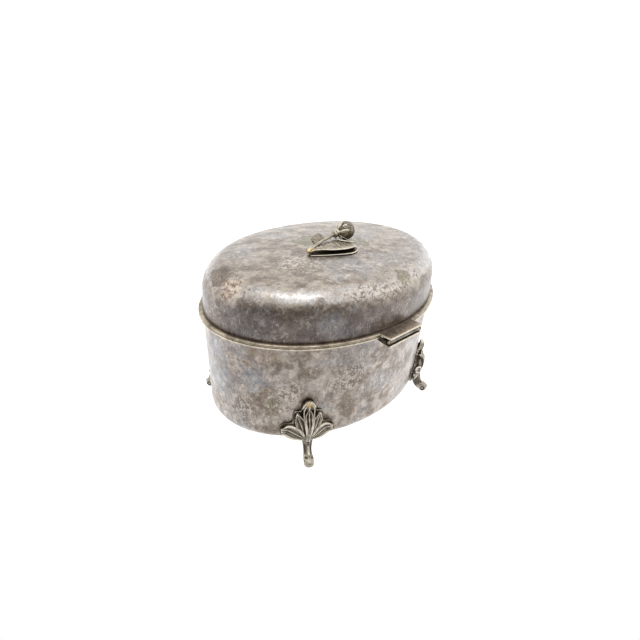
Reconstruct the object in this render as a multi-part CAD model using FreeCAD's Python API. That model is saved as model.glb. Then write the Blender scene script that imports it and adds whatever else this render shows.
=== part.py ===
import FreeCAD, Part
import math
import os

# Oval silver-plated lidded box on four cast palmette feet, with a rear hinge and a bud-and-leaf finial.
# Everything is built round the centre of the oval, with +X along it, +Y towards the hinge and +Z up.
# The finished pieces are then moved by OVAL_Y, so that the origin is on the resting plane, under the
# middle of the whole footprint, which the hinge makes longer at the back.

# --- driving dimensions, millimetres ---
RIM_A = 60.0             # half length of the oval over the rim beads
RIM_B = 44.8             # half width of the oval over the rim beads
SHEET = 0.9              # thickness of the body and lid sheet
LEDGE = 1.9              # how far the rim beads stand out from the wall
SEAM_Z = 54.1            # height of the seam between lid and body
SEAM_GAP = 0.1           # daylight in the seam when the lid is shut
BODY_BEAD_H = 0.7
LID_BEAD_H = 1.35
BEAD_FALL = 0.05         # the lid bead's back edge is this much lower than its crest

BASE_Z = 6.8             # underside of the body above the resting plane
EDGE_R = 6.2             # rounding where wall meets bottom
WALL_TAPER = 2.0         # the wall draws in this much from the mouth to the bottom rounding

LID_WALL_TOP = 64.3      # where the straight lid wall turns into the shoulder
SHOULDER_IN = 10.6
SHOULDER_UP = 11.7
SHOULDER_END = 85.0      # degrees of the quarter ellipse used, so that it runs smoothly into the crown
CROWN = 2.05
CROWN_EYE = 0.03         # scale of the small flat oval in the middle of the crown

BEZEL_WALL = 0.7         # collar inside the mouth that locates the lid
BEZEL_CLEAR = 0.5        # between collar and lid wall
BEZEL_LOW = 50.0
BEZEL_TOP = 57.0
BEZEL_LIP = 0.3          # bevel that leads the lid on

HINGE_X = 1.2            # the hinge sits slightly off the middle of the back
HINGE_HALF = 10.3        # half length of the hinge leaves
BARREL_HALF = 10.0
END_KNUCKLE = 4.0        # length of each outer knuckle
KNUCKLE_GAP = 0.15       # end play between knuckles
AXIS_Y = 48.3
AXIS_Z = 53.35
BARREL_R = 1.0
PIN_R = 0.5
PIN_PLAY = 0.05          # radial running clearance in the lid's knuckle
PIN_HEAD_R = 0.8
PIN_HEAD_H = 0.35
LEAF_REACH = 1.0         # leaves stop this far beyond the hinge axis, which sets the opening angle
LEAF_FACE = 1.3          # each leaf's inner face lies this far from the hinge axis
LEAF_THICK = 0.8
LEAF_BEVEL = 0.2         # along the leaves' outer edges
LEAF_ROOT_Y = 46.9       # the leaves thicken to meet the seam on the box side of the barrel
LEAF_INNER_Y = 43.0
BODY_LEAF_IN = 2.0       # the lower leaf's blank starts this much further in, and is cut to the wall
BODY_LEAF_DROP = 1.2     # its underside falls this much towards the wall
SADDLE_HALF = 0.7        # half width of the solder saddle under each knuckle

FOOT_ANGLE = 0.86        # ellipse parameter of the back right foot on the bottom outline, radians
BACK_LEFT_ANGLE = 0.815  # the other feet were soldered on a little further round
FRONT_ANGLE = 0.89
FOOT_THICK = 3.0         # thickness of the cast palmette
PALMETTE_TOP = 29.4      # height of its top tip
LOBE_BELLY = 0.55        # each lobe is widest this far along
PALMETTE_IN = 5.0        # its blank starts this far inside the bottom outline
PALMETTE_OUT = 9.0       # and ends this far outside
KNEE_OUT = 2.2           # the leg turns outwards from here
TOE_OUT = 7.5            # toe centre of the back right foot, outwards from the bottom outline
BACK_LEFT_TOE_OUT = 6.5  # the other legs are bent out less
FRONT_TOE_OUT = 6.0
TOE_R = 2.2
TOE_WIDTH = 3.7
TOE_FLAT = 0.2           # depth of the flat rubbed on the toe

FINIAL_SINK = 3.0        # finial blanks start this far below the lid's top and are cut to fit it
LEAF_TOP = 2.1           # top of the folded leaf above the lid's top
MOUTH_LENGTH = 18.0      # slot along the folded leaf's front edge
MOUTH_DEPTH = 4.0
MOUTH_HEIGHT = 1.2
MOUTH_LOW = 0.5          # floor of the slot above the lid's top
MOUTH_TURN = -25.4       # degrees from the long axis
STEM_R = 0.65
KNOT_R = 1.7             # ball between stem and bud
BUD_R = 4.3
CALYX_THICK = 0.5
BOSS_R = 3.0             # pad under the finial that the stud stands on
STUD_R = 1.5             # finial stud, through the lid
STUD_HOLE_R = 1.6
STUD_LOW = 73.2
STUD_SOLDER = 1.0        # the stud runs this far up into the folded leaf
BOSS_UP = 1.2            # height of its pad above the lid's top
BOLT_GAP = 0.1           # between the lid and the washer
WASHER_R = 4.0
WASHER_H = 0.6
NUT_AF = 5.5             # nut size across flats
NUT_H = 2.4
BUD_X = -10.7            # centres of bud, calyx and knot; heights are above the lid's top
BUD_Y = 1.3
CALYX_R = 3.5
CALYX_X = -7.3
CALYX_Y = 1.0
CALYX_UP = 5.2
KNOT_X = -5.2
KNOT_UP = 3.4
BUD_LEAF_UP = 1.6        # thickness of the leaf under the bud, and of the small leaf
SMALL_LEAF_UP = 0.8
MOUTH_X = 6.9            # middle of the slot
MOUTH_Y = 12.0

OVAL_Y = (RIM_B - AXIS_Y - LEAF_REACH) / 2
LID_RIM_LOW = SEAM_Z + SEAM_GAP / 2
BODY_RIM_TOP = SEAM_Z - SEAM_GAP / 2
SHOULDER_Z = LID_WALL_TOP + SHOULDER_UP * math.sin(math.radians(SHOULDER_END))
LID_TOP_Z = SHOULDER_Z + CROWN

SAME_HEIGHT = 1e-6
X_DIR = FreeCAD.Vector(1, 0, 0)
Y_DIR = FreeCAD.Vector(0, 1, 0)
Z_DIR = FreeCAD.Vector(0, 0, 1)
CENTRE = FreeCAD.Vector(0, 0, 0)

os.makedirs("parts", exist_ok=True)
nodes = {}


def point(x, y, z):
    return FreeCAD.Vector(x, y, z)


# --- oval sheet-metal work: every section is an ellipse set in from the bead outline ---

def oval(inset, z, scale=1.0):
    """Closed elliptical wire in four quarters, the given distance inside the bead outline."""
    half_long = (RIM_A - inset) * scale
    half_short = (RIM_B - inset) * scale
    ellipse = Part.Ellipse(point(0, 0, z), half_long, half_short)
    quarters = []
    for k in range(4):
        start = math.pi / 2 * k
        quarters.append(Part.ArcOfEllipse(ellipse, start, start + math.pi / 2).toShape())
    return Part.Wire(quarters)


def band(stations):
    """Faces through (inset, z) or (inset, z, scale) stations: flat or straight for two, smooth for more."""
    if len(stations) == 2 and abs(stations[0][1] - stations[1][1]) < SAME_HEIGHT:
        inner, outer = sorted(stations, reverse=True)
        return disc(outer).cut(disc(inner))
    wires = [oval(*station) for station in stations]
    return Part.makeLoft(wires, False, len(wires) == 2)


def disc(station):
    """Flat face that fills one oval."""
    return Part.Face(oval(*station))


def closed(pieces):
    """Sew faces and face strips into one solid."""
    faces = []
    for piece in pieces:
        faces.extend(piece.Faces)
    shell = Part.makeShell(faces)
    shell.sewShape()
    solid = Part.makeSolid(shell)
    if solid.Volume < 0:
        solid.reverse()
    return solid


def plug(low, high):
    """Solid oval plug between two (inset, z) stations."""
    return closed([band([low, high]), disc(low), disc(high)])


def ring(strands):
    """Solid ring whose cross-section is bounded by strands of (inset, z) that share their ends."""
    return closed([band(strand) for strand in strands])


def wall_inset(z):
    """Inset of the body's tapered outer wall at a height."""
    wall_height = BODY_RIM_TOP - BASE_Z - EDGE_R
    return LEDGE + WALL_TAPER * (BODY_RIM_TOP - z) / wall_height


def bottom_edge(radius, inset, floor_z, steps=8):
    """Stations round the bottom edge, from the wall down to the floor."""
    stations = []
    for k in range(steps + 1):
        turn = math.pi / 2 * k / steps
        stations.append((inset + radius * (1 - math.cos(turn)), floor_z + radius * (1 - math.sin(turn))))
    return stations


def body_surface(gauge):
    """Faces of the body's wall and floor, set in from the outside by a gauge."""
    edge = bottom_edge(EDGE_R - gauge, LEDGE + WALL_TAPER + gauge, BASE_Z + gauge)
    wall = band([(LEDGE + gauge, BODY_RIM_TOP), edge[0]])
    return [wall, band(edge), disc(edge[-1])]


def body_shell():
    mouth = band([(LEDGE, BODY_RIM_TOP), (LEDGE + SHEET, BODY_RIM_TOP)])
    return closed(body_surface(0) + body_surface(SHEET) + [mouth])


def shoulder_stations(gauge, steps=9):
    """Stations over the lid's shoulder, set in by a gauge."""
    stations = []
    for k in range(steps + 1):
        turn = math.radians(SHOULDER_END) * k / steps
        inset = LEDGE + gauge + (SHOULDER_IN - gauge) * (1 - math.cos(turn))
        height = LID_WALL_TOP + (SHOULDER_UP - gauge) * math.sin(turn)
        stations.append((inset, height))
    return stations


def crown_stations(top, rings=8):
    """Stations over the lid's slightly domed top, from the shoulder's last one to a small oval."""
    inset, z = top
    stations = []
    for k in range(rings + 1):
        scale = 1.0 - (1.0 - CROWN_EYE) * k / rings
        stations.append((inset, z + CROWN * (1 - scale ** 2), scale))
    return stations


def lid_surface(gauge):
    """Faces of the lid's wall, shoulder and crown, set in by a gauge."""
    shoulder = shoulder_stations(gauge)
    crown = crown_stations(shoulder[-1])
    wall = band([(LEDGE + gauge, LID_RIM_LOW), shoulder[0]])
    return [wall, band(shoulder), band(crown), disc(crown[-1])]


def lid_block():
    """The lid's outer form as a solid, used to fit what lies on it."""
    return closed(lid_surface(0) + [disc((LEDGE, LID_RIM_LOW))])


def lid_shell():
    mouth = band([(LEDGE, LID_RIM_LOW), (LEDGE + SHEET, LID_RIM_LOW)])
    shell = closed(lid_surface(0) + lid_surface(SHEET) + [mouth])
    hole = Part.makeCylinder(STUD_HOLE_R, LID_TOP_Z - STUD_LOW, point(0, 0, STUD_LOW))
    return shell.cut(hole)


def body_rim_bead():
    """Thin rounded bead soldered round the outside of the body's mouth."""
    low = BODY_RIM_TOP - BODY_BEAD_H
    half = BODY_BEAD_H / 2
    nose = []
    for k in range(7):
        turn = math.pi * k / 6 - math.pi / 2
        nose.append((half - half * math.cos(turn), low + half + half * math.sin(turn)))
    under = [(wall_inset(low), low), nose[0]]
    over = [nose[-1], (LEDGE, BODY_RIM_TOP)]
    back = [over[1], under[0]]
    return ring([under, nose, over, back])


def lid_rim_bead():
    """Fuller rounded bead soldered round the lower edge of the lid."""
    low = LID_RIM_LOW
    nose = [(0.30, low), (0.06, low + 0.28), (0.0, low + 0.62), (0.14, low + 0.98), (0.52, low + 1.25),
            (1.1, low + LID_BEAD_H), (LEDGE, low + LID_BEAD_H - BEAD_FALL)]
    under = [(LEDGE, low), nose[0]]
    back = [nose[-1], under[0]]
    return ring([under, nose, back])


def mouth_bezel():
    """Collar soldered inside the mouth; its upper part is joggled in to clear the lid."""
    root = wall_inset(BEZEL_LOW) + SHEET
    outer = LEDGE + SHEET + BEZEL_CLEAR
    inner = outer + BEZEL_WALL
    corners = [(root, BEZEL_LOW), (LEDGE + SHEET, BODY_RIM_TOP), (outer, BODY_RIM_TOP),
               (outer, BEZEL_TOP - BEZEL_LIP), (outer + BEZEL_LIP, BEZEL_TOP), (inner, BEZEL_TOP),
               (inner, BEZEL_LOW)]
    strands = [[corners[k], corners[(k + 1) % len(corners)]] for k in range(len(corners))]
    return ring(strands)


# --- hinge ---

def extruded(profile, half_length):
    """Solid with a (y, z) profile, extruded both ways along X from the middle of the hinge."""
    left = HINGE_X - half_length
    corners = [point(left, y, z) for y, z in profile]
    face = Part.Face(Part.makePolygon(corners + corners[:1]))
    return face.extrude(point(2 * half_length, 0, 0))


def hinge_lid_leaf(bead):
    """Upper leaf: flush with the lid's bead, thick at the seam and thin over the barrel."""
    top = LID_RIM_LOW + LID_BEAD_H - BEAD_FALL
    face = AXIS_Z + LEAF_FACE
    tip = AXIS_Y + LEAF_REACH
    profile = [(LEAF_INNER_Y, LID_RIM_LOW), (LEAF_ROOT_Y, LID_RIM_LOW), (LEAF_ROOT_Y, face), (tip, face),
               (tip, top - LEAF_BEVEL), (tip - LEAF_BEVEL, top), (LEAF_INNER_Y, top)]
    leaf = extruded(profile, HINGE_HALF)
    return leaf.cut(bead).cut(plug((LEDGE, BODY_RIM_TOP), (LEDGE, LID_WALL_TOP)))


def hinge_body_leaf(bead):
    """Lower leaf: hangs below the seam and carries the two outer knuckles."""
    face = AXIS_Z - LEAF_FACE
    tip = AXIS_Y + LEAF_REACH
    low = face - LEAF_THICK
    inner = LEAF_INNER_Y - BODY_LEAF_IN
    profile = [(inner, BODY_RIM_TOP), (LEAF_ROOT_Y, BODY_RIM_TOP), (LEAF_ROOT_Y, face), (tip, face),
               (tip, low + LEAF_BEVEL), (tip - LEAF_BEVEL, low), (inner, low - BODY_LEAF_DROP)]
    leaf = extruded(profile, HINGE_HALF)
    foot_z = BASE_Z + EDGE_R
    core = plug((wall_inset(foot_z), foot_z), (LEDGE, BODY_RIM_TOP))
    return max(leaf.cut(bead).cut(core).Solids, key=lambda solid: solid.Volume)


def knuckle(start, length, bore_r, side):
    """Tube on the hinge axis with a saddle up (side 1) or down (side -1) to its own leaf."""
    origin = point(start, AXIS_Y, AXIS_Z)
    tube = Part.makeCylinder(BARREL_R, length, origin, X_DIR)
    low = AXIS_Z if side > 0 else AXIS_Z - LEAF_FACE
    saddle = Part.makeBox(length, 2 * SADDLE_HALF, LEAF_FACE, point(start, AXIS_Y - SADDLE_HALF, low))
    bore = Part.makeCylinder(bore_r, length, origin, X_DIR)
    return tube.fuse(saddle).cut(bore).removeSplitter()


def hinge_pin():
    """Wire pin with peened ends, tight in the outer knuckles."""
    start = HINGE_X - BARREL_HALF
    length = 2 * BARREL_HALF
    pin = Part.makeCylinder(PIN_R, length, point(start, AXIS_Y, AXIS_Z), X_DIR)
    left = Part.makeCone(PIN_HEAD_R, PIN_R, PIN_HEAD_H, point(start, AXIS_Y, AXIS_Z), -X_DIR)
    right = Part.makeCone(PIN_HEAD_R, PIN_R, PIN_HEAD_H, point(start + length, AXIS_Y, AXIS_Z), X_DIR)
    return pin.fuse([left, right]).removeSplitter()


def add_hinge(lid_bead, body_bead):
    start = HINGE_X - BARREL_HALF
    middle = 2 * (BARREL_HALF - END_KNUCKLE - KNUCKLE_GAP)
    nodes["hinge_lid_leaf"] = hinge_lid_leaf(lid_bead)
    nodes["hinge_body_leaf"] = hinge_body_leaf(body_bead)
    nodes["hinge_knuckle_left"] = knuckle(start, END_KNUCKLE, PIN_R, -1)
    nodes["hinge_knuckle_right"] = knuckle(HINGE_X + BARREL_HALF - END_KNUCKLE, END_KNUCKLE, PIN_R, -1)
    nodes["hinge_knuckle_lid"] = knuckle(HINGE_X - middle / 2, middle, PIN_R + PIN_PLAY, 1)
    nodes["hinge_pin"] = hinge_pin()


# --- feet ---

def foot_frame(angle):
    """Position and outward direction of a foot at +X +Y on the bottom outline."""
    half_long = RIM_A - LEDGE - WALL_TAPER
    half_short = RIM_B - LEDGE - WALL_TAPER
    spot = point(half_long * math.cos(angle), half_short * math.sin(angle), 0)
    out = point(math.cos(angle) / half_long, math.sin(angle) / half_short, 0).normalize()
    return spot, out


def lobe(root, tip, belly):
    """Pointed-oval face between two (side, z) points with the given half width."""
    along = (tip[0] - root[0], tip[1] - root[1])
    size = math.hypot(*along)
    across = (-along[1] / size * belly, along[0] / size * belly)
    middle = (root[0] + along[0] * LOBE_BELLY, root[1] + along[1] * LOBE_BELLY)
    start = point(root[0], 0, root[1])
    end = point(tip[0], 0, tip[1])
    near = point(middle[0] + across[0], 0, middle[1] + across[1])
    far = point(middle[0] - across[0], 0, middle[1] - across[1])
    return Part.Face(Part.Wire([Part.Arc(start, near, end).toShape(), Part.Arc(end, far, start).toShape()]))


def palmette_block():
    """Five lobes, extruded along Y, in the foot's own frame (X side, Y out, Z up)."""
    lobes = [((0.0, 8.6), (0.0, PALMETTE_TOP), 3.2)]
    for side in (-1, 1):
        lobes.append(((side * 0.4, 9.4), (side * 5.0, 23.8), 2.5))
        lobes.append(((side * 0.6, 9.0), (side * 11.4, 15.4), 3.6))
    block = None
    for start, end, belly in lobes:
        prism = lobe(start, end, belly).extrude(point(0, PALMETTE_IN + PALMETTE_OUT, 0))
        block = prism if block is None else block.fuse(prism)
    block.translate(point(0, -PALMETTE_IN, 0))
    return block.removeSplitter()


def wall_form(extra):
    """Solid of the tapered wall, carried straight down past the bottom rounding, grown by extra."""
    low = BASE_Z / 2
    high = PALMETTE_TOP + EDGE_R
    return plug((wall_inset(low) - extra, low), (wall_inset(high) - extra, high))


def leg_section(out, z, lean, width, thick):
    """Oval section of the leg; lean is the turn of its path from straight down, in degrees."""
    corners = []
    for k in range(8):
        turn = math.pi * k / 4
        corners.append(point(width / 2 * math.cos(turn), thick / 2 * math.sin(turn), 0))
    curve = Part.BSplineCurve()
    curve.interpolate(corners, PeriodicFlag=True)
    wire = Part.Wire(curve.toShape())
    wire.rotate(CENTRE, X_DIR, 180 + lean)
    wire.translate(point(0, out, z))
    return wire


def leg(toe_out):
    """Scroll leg from inside the palmette down and out to the toe."""
    reach = toe_out - KNEE_OUT
    sections = [
        leg_section(1.5, 12.6, 0, 3.2, 2.4),
        leg_section(1.8, 9.6, 0, 3.8, 3.2),
        leg_section(KNEE_OUT, 7.0, 12, 3.5, 3.5),
        leg_section(KNEE_OUT + 0.21 * reach, 4.7, 36, 3.3, 3.7),
        leg_section(KNEE_OUT + 0.57 * reach, 3.0, 62, 3.3, 3.7),
        leg_section(toe_out, 2.4, 88, 3.5, 3.9),
    ]
    return Part.makeLoft(sections, True, False)


def foot(angle, toe_out):
    """One cast foot at +X +Y: palmette, leg and rolled toe with a small flat to stand on."""
    spot, out = foot_frame(angle)
    turn = math.degrees(math.atan2(out.y, out.x)) - 90
    palmette = palmette_block()
    toe = Part.makeCylinder(TOE_R, TOE_WIDTH, point(-TOE_WIDTH / 2, toe_out, TOE_R - TOE_FLAT), X_DIR)
    below = 2 * TOE_OUT
    ground = Part.makeBox(below, below, below, point(-below / 2, 0, -below))
    scroll = leg(toe_out).fuse(toe).cut(ground)
    for shape in (palmette, scroll):
        shape.rotate(CENTRE, Z_DIR, turn)
        shape.translate(spot)
    leaf = palmette.common(wall_form(FOOT_THICK)).cut(wall_form(0))
    return leaf.fuse(scroll.cut(wall_form(0))).removeSplitter()


def add_feet():
    front = foot(FRONT_ANGLE, FRONT_TOE_OUT).mirror(CENTRE, Y_DIR)
    nodes["foot_back_right"] = foot(FOOT_ANGLE, TOE_OUT)
    nodes["foot_back_left"] = foot(BACK_LEFT_ANGLE, BACK_LEFT_TOE_OUT).mirror(CENTRE, X_DIR)
    nodes["foot_front_right"] = front
    nodes["foot_front_left"] = front.mirror(CENTRE, X_DIR)


# --- finial ---

def plan_face(corners):
    """Flat face with a smooth closed outline through (x, y) corners, below the lid's top."""
    curve = Part.BSplineCurve()
    curve.interpolate([point(x, y, LID_TOP_Z - FINIAL_SINK) for x, y in corners], PeriodicFlag=True)
    return Part.Face(Part.Wire(curve.toShape()))


def finial_leaf(lid):
    """Folded leaf lying on the lid: a foot plate and an upper flap, open along its long front edge."""
    outline = [(16.5, 7.0), (12.2, 10.0), (7.6, 12.3), (2.8, 14.3), (-1.6, 15.4), (-5.6, 13.9), (-6.4, 10.6),
               (-3.6, 6.4), (-2.4, 2.2), (0.4, 1.3), (5.0, 2.3), (11.4, 4.2), (15.0, 4.9)]
    block = plan_face(outline).extrude(point(0, 0, FINIAL_SINK + LEAF_TOP))
    mouth = Part.makeBox(MOUTH_LENGTH, 2 * MOUTH_DEPTH, MOUTH_HEIGHT)
    mouth.translate(point(-MOUTH_LENGTH / 2, -MOUTH_DEPTH, 0))
    mouth.rotate(CENTRE, Z_DIR, MOUTH_TURN)
    mouth.translate(point(MOUTH_X, MOUTH_Y, LID_TOP_Z + MOUTH_LOW))
    boss = Part.makeCylinder(BOSS_R, FINIAL_SINK + BOSS_UP, point(0, 0, LID_TOP_Z - FINIAL_SINK))
    stud = Part.makeCylinder(STUD_R, LID_TOP_Z + STUD_SOLDER - STUD_LOW, point(0, 0, STUD_LOW))
    return block.cut(mouth).fuse(boss).cut(lid).fuse(stud).removeSplitter()


def flat_leaf(outline, height, neighbours):
    """Leaf plate that lies on the lid, up to a height above the lid's top, cut to fit its neighbours."""
    block = plan_face(outline).extrude(point(0, 0, FINIAL_SINK + height))
    for neighbour in neighbours:
        block = block.cut(neighbour)
    return max(block.Solids, key=lambda solid: solid.Volume)


def wire_rod(path, radius):
    """Round rod through (x, y, z) points, with ball joints at the bends."""
    points = [point(*spot) for spot in path]
    rod = Part.makeSphere(radius, points[0])
    for start, end in zip(points, points[1:]):
        run = end - start
        rod = rod.fuse(Part.makeCylinder(radius, run.Length, start, run))
        rod = rod.fuse(Part.makeSphere(radius, end))
    return rod.removeSplitter()


def add_finial(lid):
    """Bud, calyx, knot and stem, with three leaves; only the folded leaf is bolted through the lid."""
    leaf = finial_leaf(lid)
    bud_centre = point(BUD_X, BUD_Y, LID_TOP_Z + BUD_R)
    bud = Part.makeSphere(BUD_R, bud_centre)
    calyx_ball = Part.makeSphere(BUD_R + CALYX_THICK, bud_centre)
    calyx_reach = Part.makeSphere(CALYX_R, point(CALYX_X, CALYX_Y, LID_TOP_Z + CALYX_UP))
    calyx = calyx_ball.common(calyx_reach).cut(bud)
    knot = Part.makeSphere(KNOT_R, point(KNOT_X, 0, LID_TOP_Z + KNOT_UP)).cut(calyx_ball).cut(leaf)
    stem_path = [(14.5, 5.1, LID_TOP_Z + 1.8), (8.5, 3.6, LID_TOP_Z + 2.2), (2.5, 2.0, LID_TOP_Z + 2.6),
                 (-3.2, 0.7, LID_TOP_Z + 3.1)]
    stem = wire_rod(stem_path, STEM_R).cut(knot).cut(leaf)
    bud_leaf = [(-2.9, 2.0), (-3.4, 6.4), (-6.4, 9.6), (-12.4, 9.2), (-12.6, 5.4), (-9.0, 2.4), (-5.6, 0.8)]
    small_leaf = [(5.2, 0.6), (3.4, -2.6), (-0.6, -7.0), (-5.6, -10.2), (-5.4, -6.4), (-3.0, -2.4),
                  (0.6, 1.2)]
    nodes["finial_leaf"] = leaf
    nodes["finial_bud_leaf"] = flat_leaf(bud_leaf, BUD_LEAF_UP, [lid, leaf, bud])
    nodes["finial_small_leaf"] = flat_leaf(small_leaf, SMALL_LEAF_UP, [lid, leaf])
    nodes["finial_stem"] = max(stem.Solids, key=lambda solid: solid.Volume)
    nodes["finial_knot"] = knot
    nodes["finial_calyx"] = calyx
    nodes["finial_bud"] = bud.cut(lid).cut(leaf)


def finial_washer():
    top = LID_TOP_Z - SHEET - BOLT_GAP
    washer = Part.makeCylinder(WASHER_R, WASHER_H, point(0, 0, top - WASHER_H))
    return washer.cut(Part.makeCylinder(STUD_HOLE_R, WASHER_H, point(0, 0, top - WASHER_H)))


def finial_nut():
    top = LID_TOP_Z - SHEET - BOLT_GAP - WASHER_H
    corner_r = NUT_AF / 2 / math.cos(math.pi / 6)
    corners = []
    for k in range(7):
        turn = math.pi / 3 * k
        corners.append(point(corner_r * math.cos(turn), corner_r * math.sin(turn), top - NUT_H))
    hexagon = Part.Face(Part.makePolygon(corners)).extrude(point(0, 0, NUT_H))
    return hexagon.cut(Part.makeCylinder(STUD_R, NUT_H, point(0, 0, top - NUT_H)))


# --- assembly ---

nodes["body_shell"] = body_shell()
nodes["body_rim_bead"] = body_rim_bead()
nodes["mouth_bezel"] = mouth_bezel()
nodes["lid_shell"] = lid_shell()
nodes["lid_rim_bead"] = lid_rim_bead()
add_hinge(nodes["lid_rim_bead"], nodes["body_rim_bead"])
add_feet()
add_finial(lid_block())
nodes["finial_washer"] = finial_washer()
nodes["finial_nut"] = finial_nut()

for name, shape in nodes.items():
    solids = shape.Solids
    kept = solids[0] if len(solids) == 1 else shape
    kept.translate(point(0, OVAL_Y, 0))
    kept.exportStep("parts/" + name + ".step")
    box = kept.optimalBoundingBox(False)
    print("%-20s solids %d valid %s volume %.1f  x %.2f %.2f  y %.2f %.2f  z %.2f %.2f" % (
        name, len(solids), kept.isValid(), kept.Volume, box.XMin, box.XMax, box.YMin, box.YMax,
        box.ZMin, box.ZMax))
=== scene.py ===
import math

import bmesh
import bpy
import numpy as np
from mathutils import Matrix, Vector, noise


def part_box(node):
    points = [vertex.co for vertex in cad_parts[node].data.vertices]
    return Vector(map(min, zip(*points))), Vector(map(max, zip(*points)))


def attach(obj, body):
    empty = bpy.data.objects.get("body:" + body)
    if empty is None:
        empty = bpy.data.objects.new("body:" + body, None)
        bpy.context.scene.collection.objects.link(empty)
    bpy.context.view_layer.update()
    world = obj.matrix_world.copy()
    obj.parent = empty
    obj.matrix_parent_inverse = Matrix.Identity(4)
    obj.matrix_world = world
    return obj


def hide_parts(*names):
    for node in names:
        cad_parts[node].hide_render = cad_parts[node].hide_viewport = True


# Looks of the oval plated box: worn sheet-metal shells, cast palmette feet, the finial, and their finishes.
# Shapes are worked out in millimetres round the centre of the oval, and turned into metres by to_frame().

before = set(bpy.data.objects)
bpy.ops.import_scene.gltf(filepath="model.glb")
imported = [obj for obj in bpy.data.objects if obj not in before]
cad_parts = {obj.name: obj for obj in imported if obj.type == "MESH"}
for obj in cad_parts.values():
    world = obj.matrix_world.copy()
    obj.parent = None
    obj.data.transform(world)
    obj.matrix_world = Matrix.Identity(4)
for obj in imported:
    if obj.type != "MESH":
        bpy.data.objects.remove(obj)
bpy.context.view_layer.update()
MM = 0.001


# --- sizes read from the frame, millimetres ---

def edges_of(node):
    """Lowest and highest corner of a CAD node, in millimetres."""
    low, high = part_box(node)
    return low / MM, high / MM


bead_low, bead_high = edges_of("body_rim_bead")
body_low, body_high = edges_of("body_shell")
lid_low, lid_high = edges_of("lid_shell")

OVAL = Vector((0.0, (bead_low.y + bead_high.y) / 2, 0.0))
RIM_A = bead_high.x
RIM_B = (bead_high.y - bead_low.y) / 2
LEDGE = bead_high.x - body_high.x
MOUTH_Z = body_high.z
BASE_Z = body_low.z
LID_LOW = lid_low.z
LID_TOP = lid_high.z

# --- driving sizes of the shells, millimetres ---
SHEET = 0.9
WALL_TAPER = 2.0
EDGE_R = 6.2
LID_WALL_TOP = 64.3
SHOULDER_IN = 10.6
SHOULDER_UP = 11.7
SHOULDER_END = math.radians(85.0)
CROWN = 2.05
AROUND = 288             # steps round the oval
DENT_DEPTH = 0.16        # unevenness of the old sheet metal
DENT_SIZE = 21.0
KNOCK_SIZE = 0.35        # the smaller knocks' size and depth, as shares of the broad waves'
KNOCK_DEPTH = 0.35
WALL_STEPS = 30          # stations down the body's wall, round its bottom edge and over its floor
EDGE_STEPS = 10
FLOOR_STEPS = 12
LID_WALL_STEPS = 10      # and up the lid's wall, round its shoulder and over its crown
SHOULDER_STEPS = 20
CROWN_STEPS = 30
SHRINK = 0.985           # the last ring shrinks by this share, and a small face closes the middle

# --- feet ---
FOOT_ANGLE = 0.86        # ellipse parameter of the back right foot on the bottom outline
BACK_LEFT_ANGLE = 0.815
FRONT_ANGLE = 0.89
LEAF_GRID = 0.16         # spacing of the relief's points
FOOT_VOXEL = 0.15
TOE_OUT = 7.5            # the same foot's toe, outwards from the bottom outline
BACK_LEFT_TOE_OUT = 6.5
FRONT_TOE_OUT = 6.0
KNEE_OUT = 2.4           # the leg turns outwards here
TOE_R = 2.2
TOE_Z = 2.0
TOE_HALF = 2.15
FLAP_THICK = 0.42        # half thickness of the leaf's end over the toe

# --- hinge ---
AXIS_Y = 48.3            # pin's axis
AXIS_Z = 53.35
BARREL_R = 0.68
LEAF_REACH = 1.0         # leaves' faces beyond the axis
HINGE_LEFT = -9.1
HINGE_RIGHT = 11.5
UPPER_TOP = 55.45        # upper leaf: its top, its underside, and its root at the seam
UPPER_LOW = 54.70
UPPER_ROOT = 54.20
LOWER_ROOT = 54.00       # lower leaf: its root, the step behind the barrel, its ledge and its end
LOWER_STEP = 53.45
LOWER_TOP = 52.15
LOWER_FACE = 0.75
LOWER_END = 52.40
EDGE_WEAR = 0.12


def to_frame(x, y, z):
    """A point in millimetres round the centre of the oval, in the frame's metres."""
    return (Vector((x, y, z)) + OVAL) * MM


def add_object(name, data):
    """New object in the scene for a mesh, a camera or a light."""
    made = bpy.data.objects.new(name, data)
    bpy.context.scene.collection.objects.link(made)
    return made


def make_object(name, points, faces):
    """Mesh object from millimetre points, with outward normals."""
    mesh = bpy.data.meshes.new(name)
    mesh.from_pydata([to_frame(*p) for p in points], [], faces)
    mesh.validate()
    work = bmesh.new()
    work.from_mesh(mesh)
    bmesh.ops.remove_doubles(work, verts=work.verts, dist=1e-7)
    bmesh.ops.recalc_face_normals(work, faces=work.faces)
    work.to_mesh(mesh)
    work.free()
    mesh.polygons.foreach_set("use_smooth", [True] * len(mesh.polygons))
    return add_object(name, mesh)


def points_of(piece):
    """A piece's vertices as millimetres round the centre of the oval."""
    flat = np.zeros(len(piece.data.vertices) * 3)
    piece.data.vertices.foreach_get("co", flat)
    return flat.reshape(-1, 3) / MM - np.array(OVAL)


def place(piece, body, slot, material, *nodes):
    """Give a piece its material, its body and the CAD nodes that it stands for."""
    piece.data.materials.clear()
    piece.data.materials.append(material)
    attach(piece, body)
    if nodes:
        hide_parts(*nodes)
    return piece


def apply_modifiers(piece):
    """Bake a piece's modifiers into its mesh."""
    graph = bpy.context.evaluated_depsgraph_get()
    made = bpy.data.meshes.new_from_object(piece.evaluated_get(graph))
    old = piece.data
    piece.modifiers.clear()
    piece.data = made
    bpy.data.meshes.remove(old)
    made.polygons.foreach_set("use_smooth", [True] * len(made.polygons))


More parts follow.
